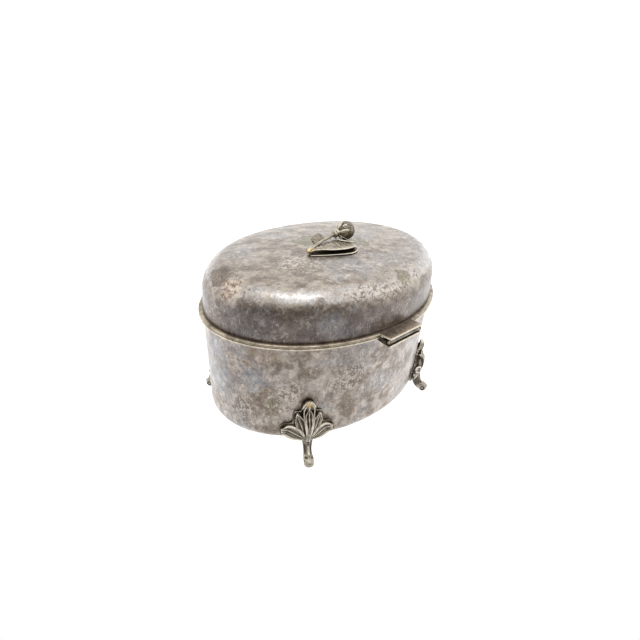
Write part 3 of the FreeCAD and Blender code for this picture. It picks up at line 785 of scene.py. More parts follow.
class Palmette:
    """Relief of the five-lobed leaf on its thin plate, on a grid of side and z."""

    def __init__(self):
        self.sides = np.arange(-14.0, 14.01, LEAF_GRID)
        self.heights = np.arange(5.0, 32.0, LEAF_GRID)
        self.side, self.z = np.meshgrid(self.sides, self.heights)
        lobes = np.full(self.side.shape, -1.0)
        for lobe in (CENTRE_LOBE, INNER_LOBE, MIDDLE_LOBE, SIDE_LOBE):
            for mirror in (-1, 1):
                lobes = np.maximum(lobes, lobe_relief(lobe, mirror, self.side, self.z))
        self.plate = ~spread(~spread(lobes > 0, BORDER + WEB), WEB)
        self.bulge_curve = smooth_curve(BULGE, 200)
        border = 0.45 + TIP_LIFT * ease(self.z, TIP_FREE, TIP_FREE + 4.5)
        self.relief = np.where(lobes > 0, lobes, border)
        level = np.where(self.plate, self.relief, 0.0)
        self.crest = level - self.blurred(level)

    def bulge(self, side, z):
        """How far the middle of the leaf stands out from its place on the wall."""
        depth = np.interp(z, self.bulge_curve[:, 0], self.bulge_curve[:, 1])
        return depth * np.exp(-(side / BULGE_SIDE) ** 2)

    @staticmethod
    def blurred(level):
        """Mean of a grid over a square of twice the crest reach."""
        reach = int(CREST_REACH / LEAF_GRID)
        for axis in (0, 1):
            level = sum(np.roll(level, k, axis) for k in range(-reach, reach + 1)) / (2 * reach + 1)
        return level

    def solid(self, spot):
        """Closed mesh of the relief, its back sunk a little into the wall."""
        plate = self.plate
        index = -np.ones(plate.shape, int)
        index[plate] = np.arange(plate.sum())
        count = int(plate.sum())
        swell = self.bulge(self.side[plate], self.z[plate])
        top = spot.on_wall(self.side[plate], self.relief[plate] + swell, self.z[plate])
        top[:, 2] += LEAN * swell
        free_tip = ease(self.z[plate], TIP_FREE, TIP_FREE + 3.0)
        under = self.relief[plate] + swell - TIP_THICK
        bottom = spot.on_wall(self.side[plate], -0.35 + (under + 0.35) * free_tip, self.z[plate])
        bottom[:, 2] += LEAN * swell * free_tip
        points = [tuple(p) for p in np.vstack([top, bottom])]
        faces = []
        rows, columns = plate.shape
        for r in range(rows - 1):
            for c in range(columns - 1):
                corners = (index[r, c], index[r, c + 1], index[r + 1, c + 1], index[r + 1, c])
                if min(corners) >= 0:
                    faces.append(corners)
        sides_of = {(face[k], face[(k + 1) % 4]) for face in faces for k in range(4)}
        walls = [(b, a, a + count, b + count) for a, b in sorted(sides_of) if (b, a) not in sides_of]
        back = [tuple(k + count for k in face[::-1]) for face in faces]
        return points, faces + back + walls

    def crest_at(self, spot, points, toe_out):
        """How far points of the foot stand on a ridge (above 0) or in a groove (below 0), for a painted
        highlight on the ridges and painted shade in the grooves.
        """
        flat = points[:, :2] - spot.spot
        side = flat @ spot.side
        out = flat @ spot.out
        level = points[:, 2]
        for _ in range(3):
            level = points[:, 2] - LEAN * self.bulge(side, level)
        column = np.clip(np.round((side - self.sides[0]) / LEAF_GRID).astype(int), 0, len(self.sides) - 1)
        row = np.clip(np.round((level - self.heights[0]) / LEAF_GRID).astype(int), 0, len(self.heights) - 1)
        leaf = self.crest[row, column]
        # The leg gets a pale midrib and dark sides, the toe a pale roll with dark dished ends: painted
        # highlight and painted shade.
        leg = 0.55 * np.exp(-(side / 0.50) ** 2) - 0.22
        radius = np.hypot(out - toe_out, points[:, 2] - TOE_Z)
        dished = (np.abs(side) > 0.6 * TOE_HALF) & (radius > 0.62) & (radius < 1.15)
        toe = np.where(dished, -0.25, 0.10)
        near_toe = 1 - ease(radius, TOE_R + 0.5, TOE_R + 1.6)
        low = 1 - ease(points[:, 2], 7.6, 8.6)
        return leaf * (1 - low) + low * (leg * (1 - near_toe) + toe * near_toe)


def leg_sweep(spot, toe_out):
    """Leg from inside the leaf down and out into the toe, with a ridge between two gutters."""
    reach = toe_out - KNEE_OUT
    path = smooth_curve([(1.2, 13.0), (1.9, 9.6), (KNEE_OUT, 7.2), (KNEE_OUT + 0.21 * reach, 4.8),
                         (KNEE_OUT + 0.57 * reach, 3.0), (toe_out, 2.35)], 40)
    step = unit_steps(path)
    sections = []
    for k, (out, z) in enumerate(path):
        t = k / (len(path) - 1)
        half_width = 2.6 - 0.85 * ease(t, 0.1, 0.6) + 0.40 * ease(t, 0.66, 0.88)
        half_thick = 1.6 + 0.50 * ease(t, 0.1, 0.5)
        normal = np.array([-step[k][1], step[k][0]])
        ring = []
        for wide, tall in circle(48):
            s = half_width * wide
            lift = half_thick * tall
            if lift > 0:
                v = s / half_width
                lift += 0.45 * math.exp(-(v / 0.26) ** 2) - 0.60 * math.exp(-((abs(v) - 0.60) / 0.18) ** 2)
            centre = np.array([out, z]) + normal * lift
            ring.append(spot.free(s, centre[0], centre[1]))
        sections.append(ring)
    return loft(sections)


def toe_roll(spot, toe_out):
    """Rolled toe lying across the foot, fuller in the middle, with a dished button at each end."""
    half = [(0.02, 0.84), (0.3, 0.88), (0.58, 0.86), (0.68, 0.68), (0.98, 0.68), (1.1, 0.88), (1.35, 0.86),
            (1.6, 0.78), (1.85, 0.64), (2.02, 0.48), (2.15, 0.25)]
    profile = [(radius, -share) for radius, share in half] + [(TOE_R, 0.0)]
    profile += [(radius, share) for radius, share in half[::-1]]
    sections = []
    for radius, share in profile:
        ring = []
        for ahead, up in circle(48):
            z = max(TOE_Z + radius * up, 0.0)
            ring.append(spot.free(share * TOE_HALF, toe_out + radius * ahead, z))
        sections.append(ring)
    return loft(sections)


def toe_flap(spot, toe_out):
    """End of the leaf that laps over the toe and lifts off it at its tip."""
    sections = []
    for k in range(26):
        t = k / 25
        turn = math.radians(165 - 150 * t)
        radius = TOE_R - 0.45 + 0.25 * ease(t, 0.0, 0.35) + 0.30 * ease(t, 0.75, 1.0)
        half = TOE_HALF * (0.66 + 0.29 * ease(t, 0.0, 0.35) - 0.50 * ease(t, 0.45, 1.0))
        ring = []
        for wide, tall in circle(16):
            lift = radius + FLAP_THICK * tall
            out = toe_out + lift * math.cos(turn)
            ring.append(spot.free(half * wide, out, TOE_Z + lift * math.sin(turn)))
        sections.append(ring)
    return loft(sections)


def cast_foot(spot, leaf, toe_out):
    """Points and faces of one whole foot, in millimetres, in the first corner."""
    parts = [leaf.solid(spot), leg_sweep(spot, toe_out), toe_roll(spot, toe_out), toe_flap(spot, toe_out)]
    master = make_object("foot_master", *merge(parts))
    remesh = master.modifiers.new("merge", "REMESH")
    remesh.mode = "VOXEL"
    remesh.voxel_size = FOOT_VOXEL * MM
    soften = master.modifiers.new("soften", "SMOOTH")
    soften.factor = 0.5
    soften.iterations = 1
    apply_modifiers(master)
    rest = points_of(master)
    rest[:, 2] = np.maximum(rest[:, 2], 0.0)
    faces = [tuple(p.vertices) for p in master.data.polygons]
    bpy.data.objects.remove(master)
    return rest, faces


def add_feet(material):
    """Each foot built at +X +Y, with its own place and bend, and mirrored to its corner."""
    leaf = Palmette()
    corners = (("back_right", 1, 1, FOOT_ANGLE, TOE_OUT),
               ("back_left", -1, 1, BACK_LEFT_ANGLE, BACK_LEFT_TOE_OUT),
               ("front_right", 1, -1, FRONT_ANGLE, FRONT_TOE_OUT),
               ("front_left", -1, -1, FRONT_ANGLE, FRONT_TOE_OUT))
    for corner, x_way, y_way, angle, toe_out in corners:
        spot = FootSpot(angle)
        rest, faces = cast_foot(spot, leaf, toe_out)
        points = rest * np.array([x_way, y_way, 1.0])
        piece = make_object("foot_" + corner + "_cast", [tuple(p) for p in points], faces)
        store_crest(piece, leaf, spot, toe_out)
        place(piece, "box", "cast_foot", material, "foot_" + corner)


def store_crest(piece, leaf, spot, toe_out):
    """Keep each vertex's ridge or groove value for the finish's painted highlight and shade, worked out in
    the first corner.
    """
    points = np.abs(points_of(piece))
    crest = piece.data.attributes.new("crest", "FLOAT", "POINT")
    crest.data.foreach_set("value", leaf.crest_at(spot, points, toe_out))


# --- finial ---

BUD_CENTRE = (-10.7, 1.3, LID_TOP + 4.3)
BUD_AXIS = (-0.96, 0.22, 0.12)
BUD_R = 4.0
KNOT_CENTRE = (-5.2, 0.05, 81.3)
KNOT_R = 1.72
STEM_PATH = [(15.9, 5.6, 78.6), (15.5, 5.3, 79.4), (14.2, 5.1, 79.9), (11.4, 4.5, 80.25),
             (5.0, 2.5, 80.75), (0.4, 1.5, 81.0), (-4.2, 0.3, 81.25)]
STEM_RADII = (0.75, 0.95, 0.72, 0.62, 0.60, 0.62, 0.70)
STUD_R = 1.5
LEAF_GAUGE = 0.42        # sheet of the folded leaf


def crown_z(x, y):
    """Height of the lid's top surface."""
    half_long = RIM_A - LEDGE - SHOULDER_IN * (1 - math.cos(SHOULDER_END))
    half_short = RIM_B - LEDGE - SHOULDER_IN * (1 - math.cos(SHOULDER_END))
    return LID_TOP - CROWN * ((x / half_long) ** 2 + (y / half_short) ** 2)


def leaf_roof(b, top, t, close):
    """Upper skin of the folded leaf from its back to its lip, domed and ribbed."""
    roof = []
    for j in range(7):
        share = j / 6
        spot = b.lerp(Vector((top.x, top.y, 0)), share)
        dome = 0.38 * math.sin(math.pi * share) * close
        rib = 0.10 * math.cos(22 * t * math.pi + 3.0 * share) * math.sin(math.pi * share)
        roof.append(Vector((spot.x, spot.y, top.z + 0.10 - 0.22 * (1 - share) ** 2 + dome + rib)))
    return roof


def leaf_section(f, b, top, t, close):
    """Section of the folded leaf from its front edge f, round its back b and lip, and through its cavity."""
    floor_f = crown_z(f.x, f.y) - 0.08
    floor_b = crown_z(b.x, b.y) - 0.08
    tall = max(top.z - floor_f, 0.6)
    lip = Vector((top.x, top.y, 0))
    nose = lip + (f - b).normalized() * 0.28
    cavity_top = top.z + 0.10 - LEAF_GAUGE - 0.1
    cavity_low = floor_f + LEAF_GAUGE + 0.12
    gap = 0.25 + 0.75 * close
    middle = (cavity_top + cavity_low) / 2
    section = [(f, floor_f), (f.lerp(b, 0.3), floor_f), (f.lerp(b, 0.62), (floor_f + floor_b) / 2),
               (b, floor_b), (b.lerp(f, -0.06), floor_b + tall * 0.45)]
    section += [(spot, spot.z) for spot in leaf_roof(b, top, t, close)]
    section += [(nose, top.z - 0.05), (lip.lerp(b, 0.06), top.z - LEAF_GAUGE),
                (f.lerp(b, 0.35), middle + (cavity_top - middle) * gap),
                (f.lerp(b, 0.62), middle + 0.25 * gap), (f.lerp(b, 0.62), middle - 0.25 * gap),
                (f.lerp(b, 0.35), middle + (cavity_low - middle) * gap),
                (f.lerp(b, 0.10), floor_f + LEAF_GAUGE), (f.lerp(b, 0.03), floor_f + LEAF_GAUGE + 0.22),
                (f.lerp(b, -0.035), floor_f + LEAF_GAUGE + 0.12)]
    return [Vector((spot.x, spot.y, z)) for spot, z in section]


def folded_leaf():
    """The finial's base leaf: a sheet folded back over itself, open along its front edge."""
    count = 64
    front = smooth_curve([(16.3, 7.6), (12.2, 10.1), (7.6, 12.4), (2.8, 14.4), (-1.4, 15.3), (-5.2, 14.0),
                          (-6.3, 12.2)], count)
    lip = smooth_curve([(15.6, 6.2, 79.3), (14.0, 6.9, 79.7), (10.7, 8.9, 79.95), (7.3, 11.5, 79.9),
                        (2.4, 13.5, 79.85), (-2.5, 13.6, 79.7), (-5.3, 12.7, 79.5), (-6.2, 11.6, 79.2)],
                       count)
    back = smooth_curve([(15.2, 5.0), (11.4, 4.2), (5.0, 2.3), (0.4, 1.3), (-2.4, 2.2), (-4.0, 6.4),
                         (-6.0, 10.4)], count)
    sections = []
    for k in range(count):
        t = k / (count - 1)
        close = ease(t, 0.0, 0.07) * ease(1 - t, 0.0, 0.06)
        f = Vector((*front[k], 0))
        b = Vector((*back[k], 0))
        sections.append(leaf_section(f, b, Vector(lip[k]), t, close))
    return loft(sections)


def tube(path, radii):
    """Round tube along a path, with radii spread evenly along it."""
    count = 40
    line = smooth_curve(path, count)
    sizes = np.interp(np.linspace(0, 1, count), np.linspace(0, 1, len(radii)), radii)
    sections = []
    for spot, step, size in zip(line, np.gradient(line, axis=0), sizes):
        side, up = axes_about(step)[1:]
        sections.append([Vector(spot) + (side * c + up * s) * size for c, s in circle(20)])
    return loft(sections)


def ball(centre, axis, radius, shape, sides, rings):
    """Closed form round an axis; shape gives the radius factor at (share along, turn)."""
    way, side, up = axes_about(axis)
    sections = []
    for k in range(rings + 1):
        share = 0.01 + 0.98 * k / rings
        tilt = math.pi * share
        ring = []
        for j in range(sides):
            turn = 2 * math.pi * j / sides
            size = radius * shape(share, turn)
            ring.append(Vector(centre) - way * math.cos(tilt) * size
                        + (side * math.cos(turn) + up * math.sin(turn)) * math.sin(tilt) * size)
        sections.append(ring)
    return loft(sections)


def bud_shape(share, turn):
    """Overlapping petals that spiral up the bud and close at its tip."""
    twist = turn * 7 + share * 5.5
    fold = abs(math.sin(twist / 2))
    petal = 0.050 * fold - 0.030
    lines = 0.016 * math.sin(turn * 30 + share * 12)
    point = 0.05 * math.exp(-((share - 1.0) / 0.12) ** 2)
    return 1.0 + (petal + lines) * math.sin(math.pi * share) ** 0.5 + point


def sepal(turn, reach, lift):
    """One sepal that hugs the bud from its base and lifts at its tip."""
    way, side, up = axes_about(BUD_AXIS)
    sections = []
    count = 22
    for k in range(count):
        t = k / (count - 1)
        tilt = math.radians(14 + reach * t)
        radius = BUD_R * 1.035 + 0.12 + lift * ease(t, 0.6, 1.0)
        half = 0.30 * math.sin(math.pi * min(0.18 + 0.80 * t, 0.985)) ** 0.8 + 0.01
        ring = []
        for wide, tall in circle(12):
            angle = turn + half * wide * (1.15 - 0.35 * t)
            rib = 0.10 * math.exp(-(wide / 0.3) ** 2) if tall > 0 else 0.0
            size = radius + 0.26 * tall + rib
            out = side * math.cos(angle) + up * math.sin(angle)
            ring.append(Vector(BUD_CENTRE) - way * math.cos(tilt) * size + out * math.sin(tilt) * size)
        sections.append(ring)
    return loft(sections)


def calyx():
    """Five sepals on a small cup behind the bud."""
    parts = []
    for k in range(5):
        parts.append(sepal(math.radians(20 + 72 * k), 66 - 6 * (k % 2), 0.35 + 0.2 * (k % 2)))
    way = Vector(BUD_AXIS).normalized()
    base = Vector(BUD_CENTRE) - way * (BUD_R + 0.1)
    parts.append(ball(base, BUD_AXIS, 1.55, lambda share, turn: 1.0 + 0.05 * math.sin(turn * 5), 40, 20))
    return merge(parts)


def curled_sheet(inner_edge, outer_edge, gauge, ribs):
    """Thin leaf between two edges given as (x, y, z) curves, with ribs across it and a thick rim."""
    count = 40
    across = 12
    near = smooth_curve(inner_edge, count)
    far = smooth_curve(outer_edge, count)
    sections = []
    for k in range(count):
        t = k / (count - 1)
        slim = max(ease(t, 0.0, 0.08) * ease(1 - t, 0.0, 0.08), 0.12)
        upper = []
        lower = []
        for j in range(across + 1):
            share = j / across
            spot = Vector(near[k]).lerp(Vector(far[k]), share)
            arch = 0.25 * math.sin(math.pi * share)
            rib = ribs * math.cos(t * 34 + share * 5) * math.sin(math.pi * share)
            rim = 0.22 * ease(share, 0.82, 0.98)
            upper.append(spot + Vector((0, 0, gauge * slim / 2 + arch + rib + rim)))
            lower.append(spot + Vector((0, 0, -gauge * slim / 2 + arch - rim * 0.4)))
        sections.append(upper + lower[::-1])
    return loft(sections)


def bud_leaf():
    """Leaf under the bud, its outer edge standing clear of the lid."""
    inner = [(-3.2, 1.6, 80.0), (-5.0, 2.0, 79.3), (-8.0, 3.4, 78.4), (-9.8, 5.4, 78.1)]
    outer = [(-2.2, 4.0, 80.4), (-3.0, 6.4, 80.2), (-5.6, 8.6, 79.9), (-9.6, 8.6, 78.8)]
    return curled_sheet(inner, outer, 0.5, 0.06)


def small_leaf():
    """Small veined leaf that lies on the lid behind the stem."""
    ridge = [(5.6, 0.6), (2.6, -2.8), (-2.2, -7.6), (-7.4, -12.0)]
    rib = smooth_curve(ridge, 44)
    step = unit_steps(rib)
    sections = []
    for k, (x, y) in enumerate(rib):
        t = k / (len(rib) - 1)
        half = (2.3 + 0.50 * math.sin(t * 44)) * math.sin(math.pi * min(max(t, 0.03), 0.97)) ** 0.75 + 0.05
        across = Vector((-step[k][1], step[k][0], 0))
        upper = []
        lower = []
        for j in range(17):
            v = j / 8 - 1
            spot = Vector((x, y, 0)) + across * v * half
            ground = crown_z(spot.x, spot.y)
            vein = 0.22 * math.exp(-(v / 0.16) ** 2) + 0.10 * math.cos(t * 40 - abs(v) * 7)
            lift = 0.45 + vein + 0.22 * math.exp(-((abs(v) - 0.85) / 0.12) ** 2)
            lift *= ease(t, 0.0, 0.1) * ease(1 - t, 0.0, 0.1) * 0.8 + 0.2
            upper.append(Vector((spot.x, spot.y, ground + lift * (1 - 0.5 * abs(v) ** 6))))
            lower.append(Vector((spot.x, spot.y, ground - 0.06)))
        sections.append(upper + lower[::-1])
    return loft(sections)


def stud():
    """Plain stud that runs from the folded leaf down through the lid, washer and nut."""
    low = edges_of("finial_leaf")[0].z
    sections = []
    for radius, z in ((STUD_R - 0.3, low), (STUD_R, low + 0.3), (STUD_R, LID_TOP + 0.6)):
        sections.append([(radius * c, radius * s, z) for c, s in circle(48)])
    return loft(sections)


def knot_shape(share, turn):
    """Rings round the knot, and shallow flutes along it."""
    return 1.0 + 0.07 * math.cos(share * 14) + 0.03 * math.sin(turn * 6)


def add_finial(material, bud_material, small_material, calyx_material):
    """The finial's seven cast pieces, each in place of its CAD node."""
    knot = ball(KNOT_CENTRE, BUD_AXIS, KNOT_R, knot_shape, 48, 32)
    bud = ball(BUD_CENTRE, BUD_AXIS, BUD_R, bud_shape, 168, 72)
    pieces = (("finial_leaf", "_folded", merge([folded_leaf(), stud()]), material),
              ("finial_stem", "_wire", tube(STEM_PATH, STEM_RADII), material),
              ("finial_knot", "_ball", knot, material),
              ("finial_bud", "_petals", bud, bud_material),
              ("finial_calyx", "_sepals", calyx(), calyx_material),
              ("finial_bud_leaf", "_curled", bud_leaf(), material),
              ("finial_small_leaf", "_veined", small_leaf(), small_material))
    for node, ending, form, look in pieces:
        place(make_object(node + ending, *form), "lid", "cast_finial", look, node)


# --- hinge ---

def wall_reach(x, z, sunk):
    """How far out the shells' walls reach at a place along the hinge, less the depth a leaf sinks in."""
    inset = wall_inset(z) if z < MOUTH_Z else LEDGE
    half_long = RIM_A - inset
    return (RIM_B - inset) * math.sqrt(1 - (x / half_long) ** 2) - sunk


def hinge_leaf(name, profile):
    """Leaf extruded along the hinge; profile points without a y of their own follow the wall."""
    sections = []
    count = 24
    for k in range(count + 1):
        x = HINGE_LEFT + (HINGE_RIGHT - HINGE_LEFT) * k / count
        ring = []
        for y, z in profile:
            ring.append((x, wall_reach(x, z, SHEET / 2) if y is None else y, z))
        sections.append(ring)
    leaf = make_object(name, *loft(sections))
    bevel = leaf.modifiers.new("wear", "BEVEL")
    bevel.width = EDGE_WEAR * MM
    bevel.segments = 3
    bevel.limit_method = "ANGLE"
    bevel.angle_limit = math.radians(35)
    apply_modifiers(leaf)
    return leaf


def hinge_barrel(node, toward_lid):
    """Knuckle: a tube on the pin with a strap behind it that runs to its own leaf."""
    low, high = edges_of(node)
    left = low.x + 0.05
    right = high.x - 0.05
    rings = []
    for x, radius in ((left, BARREL_R - 0.12), (left + 0.12, BARREL_R), (right - 0.12, BARREL_R),
                      (right, BARREL_R - 0.12)):
        rings.append([(x, AXIS_Y + radius * c, AXIS_Z + radius * s) for c, s in circle(32)])
    end = UPPER_LOW + 0.2 if toward_lid else LOWER_TOP - 0.2
    strap = [[(x, y, z) for y, z in ((AXIS_Y - 1.25, AXIS_Z), (AXIS_Y - 0.35, AXIS_Z),
                                     (AXIS_Y - 0.45, end), (AXIS_Y - 1.25, end))] for x in (left, right)]
    return make_object(node + "_barrel", *merge([loft(rings), loft(strap)]))


def add_hinge(leaf_material, barrel_material):
    """The two leaves with dark gaps above and below the barrel, and the three knuckles."""
    face_y = AXIS_Y + LEAF_REACH
    upper = [(None, UPPER_ROOT), (RIM_B + 0.2, UPPER_ROOT), (RIM_B + 0.4, UPPER_LOW), (face_y, UPPER_LOW),
             (face_y, UPPER_TOP), (None, UPPER_TOP)]
    lower = [(None, LOWER_ROOT), (RIM_B + 0.2, LOWER_ROOT), (RIM_B + 0.5, LOWER_STEP),
             (AXIS_Y - 1.3, LOWER_STEP), (AXIS_Y - 1.1, LOWER_TOP), (face_y, LOWER_TOP),
             (face_y, LOWER_TOP - LOWER_FACE), (None, LOWER_END)]
    place(hinge_leaf("hinge_lid_leaf_worn", upper), "lid", "plated_hinge", leaf_material, "hinge_lid_leaf")
    place(hinge_leaf("hinge_body_leaf_worn", lower), "box", "plated_hinge", leaf_material,
          "hinge_body_leaf")
    for node, toward_lid in (("hinge_knuckle_left", False), ("hinge_knuckle_lid", True),
                             ("hinge_knuckle_right", False)):
        place(hinge_barrel(node, toward_lid), "lid" if toward_lid else "box", "hinge_wire", barrel_material,
              node)


# --- studio: radiances, angles from +X towards +Y, and distances in millimetres ---

CAMERA_PLACE = (158.80, 151.71, 154.08)
CAMERA_RIGHT = (-0.71210, 0.69957, 0.05942)
CAMERA_UP = (-0.28714, -0.36742, 0.88463)
CAMERA_BACK = (0.64069, 0.61288, 0.46251)
CAMERA_LENS = 29.40
CAMERA_SHIFT = (-0.0011, 0.0008)
LIGHT_AZIMUTH = math.radians(44.0)
LIGHT_ELEVATION = math.radians(66.0)
LIGHT_DISTANCE = 0.55               # metres, like its sides
LIGHT_WIDE = 0.42
LIGHT_TALL = 0.18
LIGHT_POWER = 0.38
LIGHT_AIM = (0.0, 0.0, 0.045)
WORLD_BRIGHT = 1.38
WORLD_DARK = 0.18
DARK_AZIMUTH = math.radians(48.0)
DARK_INNER = math.radians(40.0)     # the dark part's half width, full and where it ends
DARK_OUTER = math.radians(75.0)
DARK_LOWER = math.radians(16.0)     # and its height, full and where it ends
DARK_UPPER = math.radians(34.0)
FLOOR_HALF = 3.0                    # metres, like its drop below the feet
FLOOR_DROP = 0.0002
FLOOR_BRIGHT = 1.0
FLOOR_FAR = 1.5                     # the window's side of the table, behind and beside the box, glowing brighter as painted light
FLOOR_DARK = 0.60
FAR_BAND = (10.0, 95.0)             # the window's side ends here, towards the dark part
DARK_BAND = (124.0, 230.0)          # the floor's glow greys here, a painted shadow
WHITE_BAND = (330.0, 620.0)         # and turns white again, out to a white horizon


def add_camera():
    """Camera behind and to the right of the box, looking down on it."""
    data = bpy.data.cameras.new("camera")
    data.lens = CAMERA_LENS
    data.sensor_width = 36.0
    data.shift_x, data.shift_y = CAMERA_SHIFT
    data.clip_start = 0.01
    data.clip_end = 10.0
    camera = add_object("camera", data)
    turn = Matrix((CAMERA_RIGHT, CAMERA_UP, CAMERA_BACK)).transposed().to_4x4()
    camera.matrix_world = Matrix.Translation(to_frame(*CAMERA_PLACE)) @ turn
    bpy.context.scene.camera = camera


def add_light():
    """Soft oblong light above the box, on the camera's side."""
    data = bpy.data.lights.new("overhead", "AREA")
    data.shape = "RECTANGLE"
    data.size = LIGHT_WIDE
    data.size_y = LIGHT_TALL
    data.energy = LIGHT_POWER
    light = add_object("overhead", data)
    flat = math.cos(LIGHT_ELEVATION)
    way = Vector((math.cos(LIGHT_AZIMUTH) * flat, math.sin(LIGHT_AZIMUTH) * flat,
                  math.sin(LIGHT_ELEVATION)))
    light.location = Vector(LIGHT_AIM) + way * LIGHT_DISTANCE
    light.rotation_mode = "QUATERNION"
    light.rotation_quaternion = way.to_track_quat("Z", "Y")
    light.visible_camera = False


def add_world():
    """Pale studio all round, with a darker part low on the camera's side."""
    world = bpy.data.worlds.new("studio")
    world.use_nodes = True
    bpy.context.scene.world = world
    n = Nodes(world.node_tree)
    seen = n.node("TexCoord").outputs["Generated"]
    ahead = n.step(n.toward(seen, DARK_AZIMUTH), math.cos(DARK_OUTER), math.cos(DARK_INNER))
    low = n.step(n.split(seen, "Z"), math.sin(DARK_UPPER), math.sin(DARK_LOWER))
    background = n.tree.nodes["Background"].inputs
    n.feed(background["Strength"], n.step(n.times(ahead, low), 0.0, 1.0, WORLD_BRIGHT, WORLD_DARK, "LINEAR"))
    n.feed(background["Color"], (1.0, 1.0, 1.0))


def add_floor():
    """White light table with painted light: its glow is brighter on the window's side and greys in a painted
    shadow towards the darker part of the room.
    """
    corners = [(x * FLOOR_HALF, y * FLOOR_HALF, -FLOOR_DROP)
               for x, y in ((-1, -1), (1, -1), (1, 1), (-1, 1))]
    mesh = bpy.data.meshes.new("floor")
    mesh.from_pydata(corners, [], [(0, 1, 2, 3)])
    floor = add_object("floor", mesh)
    paper = Finish("floor_paper")
    paper.set("Base Color", (0.0, 0.0, 0.0))
    paper.set("Roughness", 1.0)
    paper.set("Specular IOR Level", 0.0)
    paper.set("Emission Color", (1.0, 1.0, 1.0))
    # The floor's glow is painted light and shade: brighter on the window's side, greying in a painted shadow
    # band towards the camera's side, white again far out.
    near = paper.toward(paper.place, DARK_AZIMUTH)
    grey = paper.either(paper.step(near, *DARK_BAND, 1.0, FLOOR_DARK),
                        paper.step(paper.length(paper.place), *WHITE_BAND))
    far = paper.step(near, *FAR_BAND, FLOOR_FAR, FLOOR_BRIGHT)
    paper.set("Emission Strength", paper.times(grey, far))
    mesh.materials.append(paper.material)


# --- assembly ---

LID_PATCHES = [
    ((3.5, -7.0, 78.0), (9.0, 6.0, 4.0), OLIVE, 1.00),
    ((-14.5, 6.0, 77.8), (5.0, 5.0, 4.0), OLIVE, 1.00),
    ((17.0, 2.0, 77.8), (5.0, 4.0, 4.0), BROWN, 0.80),
    ((52.9, -5.0, 74.0), (5.0, 6.5, 4.0), BROWN, 0.95),
    ((48.0, -12.0, 75.5), (10.0, 11.0, 4.5), BROWN, 0.45),
    ((54.4, 5.2, 72.7), 4.6, TAN, 0.80),
    ((50.0, 17.0, 70.5), (5.0, 7.0, 3.5), BROWN, 0.35),
    ((44.2, 27.3, 67.5), (8.0, 8.0, 3.0), BROWN, 0.4),
    ((34.9, 32.0, 71.2), 2.2, BROWN, 0.7),
    ((16.0, 37.7, 72.6), (12.0, 6.0, 2.8), BARE, 0.30),
    ((4.0, 40.5, 71.5), (8.0, 6.0, 2.8), BARE, 0.30),
    ((-7.0, 38.5, 73.2), (8.0, 8.0, 3.8), PINK, 0.45),
    ((-6.8, 38.5, 73.4), (4.2, 4.2, 3.0), OLIVE, 0.85),
    ((32.0, 35.8, 62.5), (5.0, 5.0, 5.0), COOL, 0.5),
    ((24.0, 9.7, 77.3), (7.0, 5.0, 3.0), PALE, 0.5),
]
LID_PEPPER = [
    ((54.4, 5.2, 72.7), 6.0), ((16.0, 37.7, 72.6), (13.0, 7.0, 3.2)), ((4.0, 40.5, 71.5), (8.0, 7.0, 3.2)),
    ((-13.0, 36.5, 73.2), (5.0, 5.0, 4.0)), ((24.0, 9.7, 77.3), (12.0, 7.0, 3.0)),
]
BODY_PATCHES = [
    ((52.9, 16.1, 36.9), (4.5, 4.5, 6.0), COOL, 0.6),
    ((48.3, 21.6, 24.5), (2.4, 2.4, 6.0), OLIVE, 0.75),
    ((53.5, 11.0, 21.0), (5.0, 5.0, 5.0), OLIVE, 0.25),
    ((43.3, 27.1, 31.6), (5.0, 5.0, 5.0), PINK, 0.45),
    ((29.9, 35.9, 37.4), (6.0, 5.0, 5.0), PINK, 0.4),
    ((55.0, 12.8, 44.7), 1.4, PINK, 0.35),
    ((55.0, 12.8, 44.7), 0.55, RUST, 1.0),
    ((50.0, 20.0, 49.0), (9.0, 9.0, 3.2), RUST, 0.18),
    ((30.0, 36.0, 50.0), (14.0, 8.0, 2.6), RUST, 0.12),
    ((57.5, -4.0, 38.0), (4.0, 9.0, 16.0), COOL, 0.7),
]
BODY_PEPPER = [
    ((43.3, 27.1, 31.6), 6.0), ((46.5, 24.0, 24.0), 5.0), ((22.0, 39.0, 36.0), (9.0, 7.0, 7.0)),
    ((54.0, 10.0, 22.0), 6.0),
]

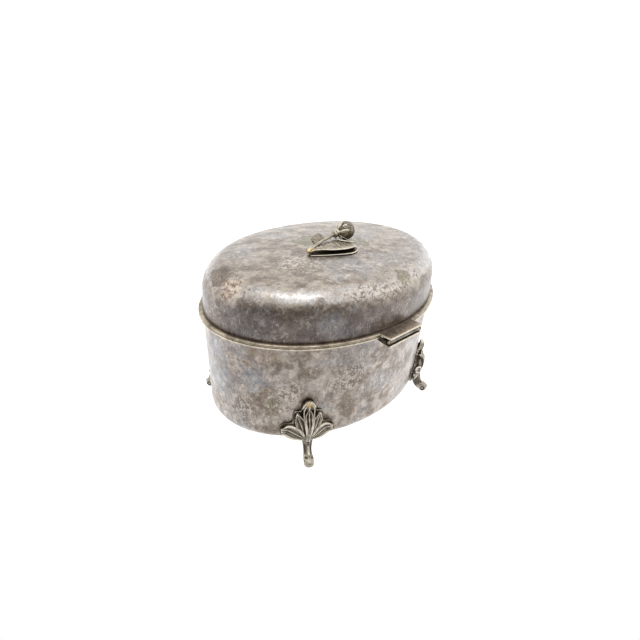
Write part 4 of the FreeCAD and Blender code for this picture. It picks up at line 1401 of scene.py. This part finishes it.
lid_silver = tarnished_sheet("lid_silver", LID_PLATE, LID_PATCHES, LID_PEPPER, of_lid=True)
body_silver = tarnished_sheet("body_silver", PALE, BODY_PATCHES, BODY_PEPPER)
inner_silver = tarnished_sheet("inner_silver", PALE, rough=INNER_ROUGH)
lid_bead_silver = rubbed_bead("lid_bead_silver", (0.42, 0.36, 0.28), (0.20, 0.16, 0.12), 1.0)
# The body's bead is given a bright colour that is partly a painted highlight on its thin rounded edge.
body_bead_silver = rubbed_bead("body_bead_silver", (0.74, 0.67, 0.55), (0.50, 0.43, 0.33), 0.35)
hinge_silver = worn_leaf("hinge_silver", (0.34, 0.275, 0.215))
barrel_silver = worn_leaf("barrel_silver", (0.30, 0.27, 0.23), (0.35, 0.32, 0.27))
foot_silver = cast_silver("foot_silver", (0.26, 0.23, 0.19), [((38.1, 33.4, 28.0), 1.05)], crests=True)
finial_silver = cast_silver("finial_silver", (0.34, 0.29, 0.22), [((15.8, 5.4, 78.9), 1.6)])
bud_silver = cast_silver("bud_silver", (0.20, 0.165, 0.12), shade=((-13.4, 3.6, 79.4), 4.6))
small_leaf_silver = cast_silver("small_leaf_silver", (0.20, 0.16, 0.10), ridge=(0.30, 0.25, 0.17))
# Pale sepals, partly a painted highlight on the bud's lit side.
calyx_silver = cast_silver("calyx_silver", (0.52, 0.47, 0.38))
fixing_brass = bare_brass("fixing_brass", (0.78, 0.62, 0.32), (0.36, 0.27, 0.14))
pin_brass = bare_brass("pin_brass", (0.46, 0.38, 0.24), (0.20, 0.16, 0.10))

place(sheet_shell("body_shell_pressed", body_profile), "box", "plated_sheet", body_silver, "body_shell")
place(sheet_shell("lid_shell_pressed", lid_profile), "lid", "plated_sheet", lid_silver, "lid_shell")
add_feet(foot_silver)
add_finial(finial_silver, bud_silver, small_leaf_silver, calyx_silver)
add_hinge(hinge_silver, barrel_silver)

CARRIED = {
    "body_rim_bead": body_bead_silver, "lid_rim_bead": lid_bead_silver, "mouth_bezel": inner_silver,
    "hinge_pin": pin_brass, "finial_washer": fixing_brass, "finial_nut": fixing_brass,
}
for node, material in CARRIED.items():
    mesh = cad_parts[node].data
    mesh.materials.clear()
    mesh.materials.append(material)

add_camera()
add_floor()
add_world()
add_light()
bpy.context.scene.view_settings.view_transform = "Standard"
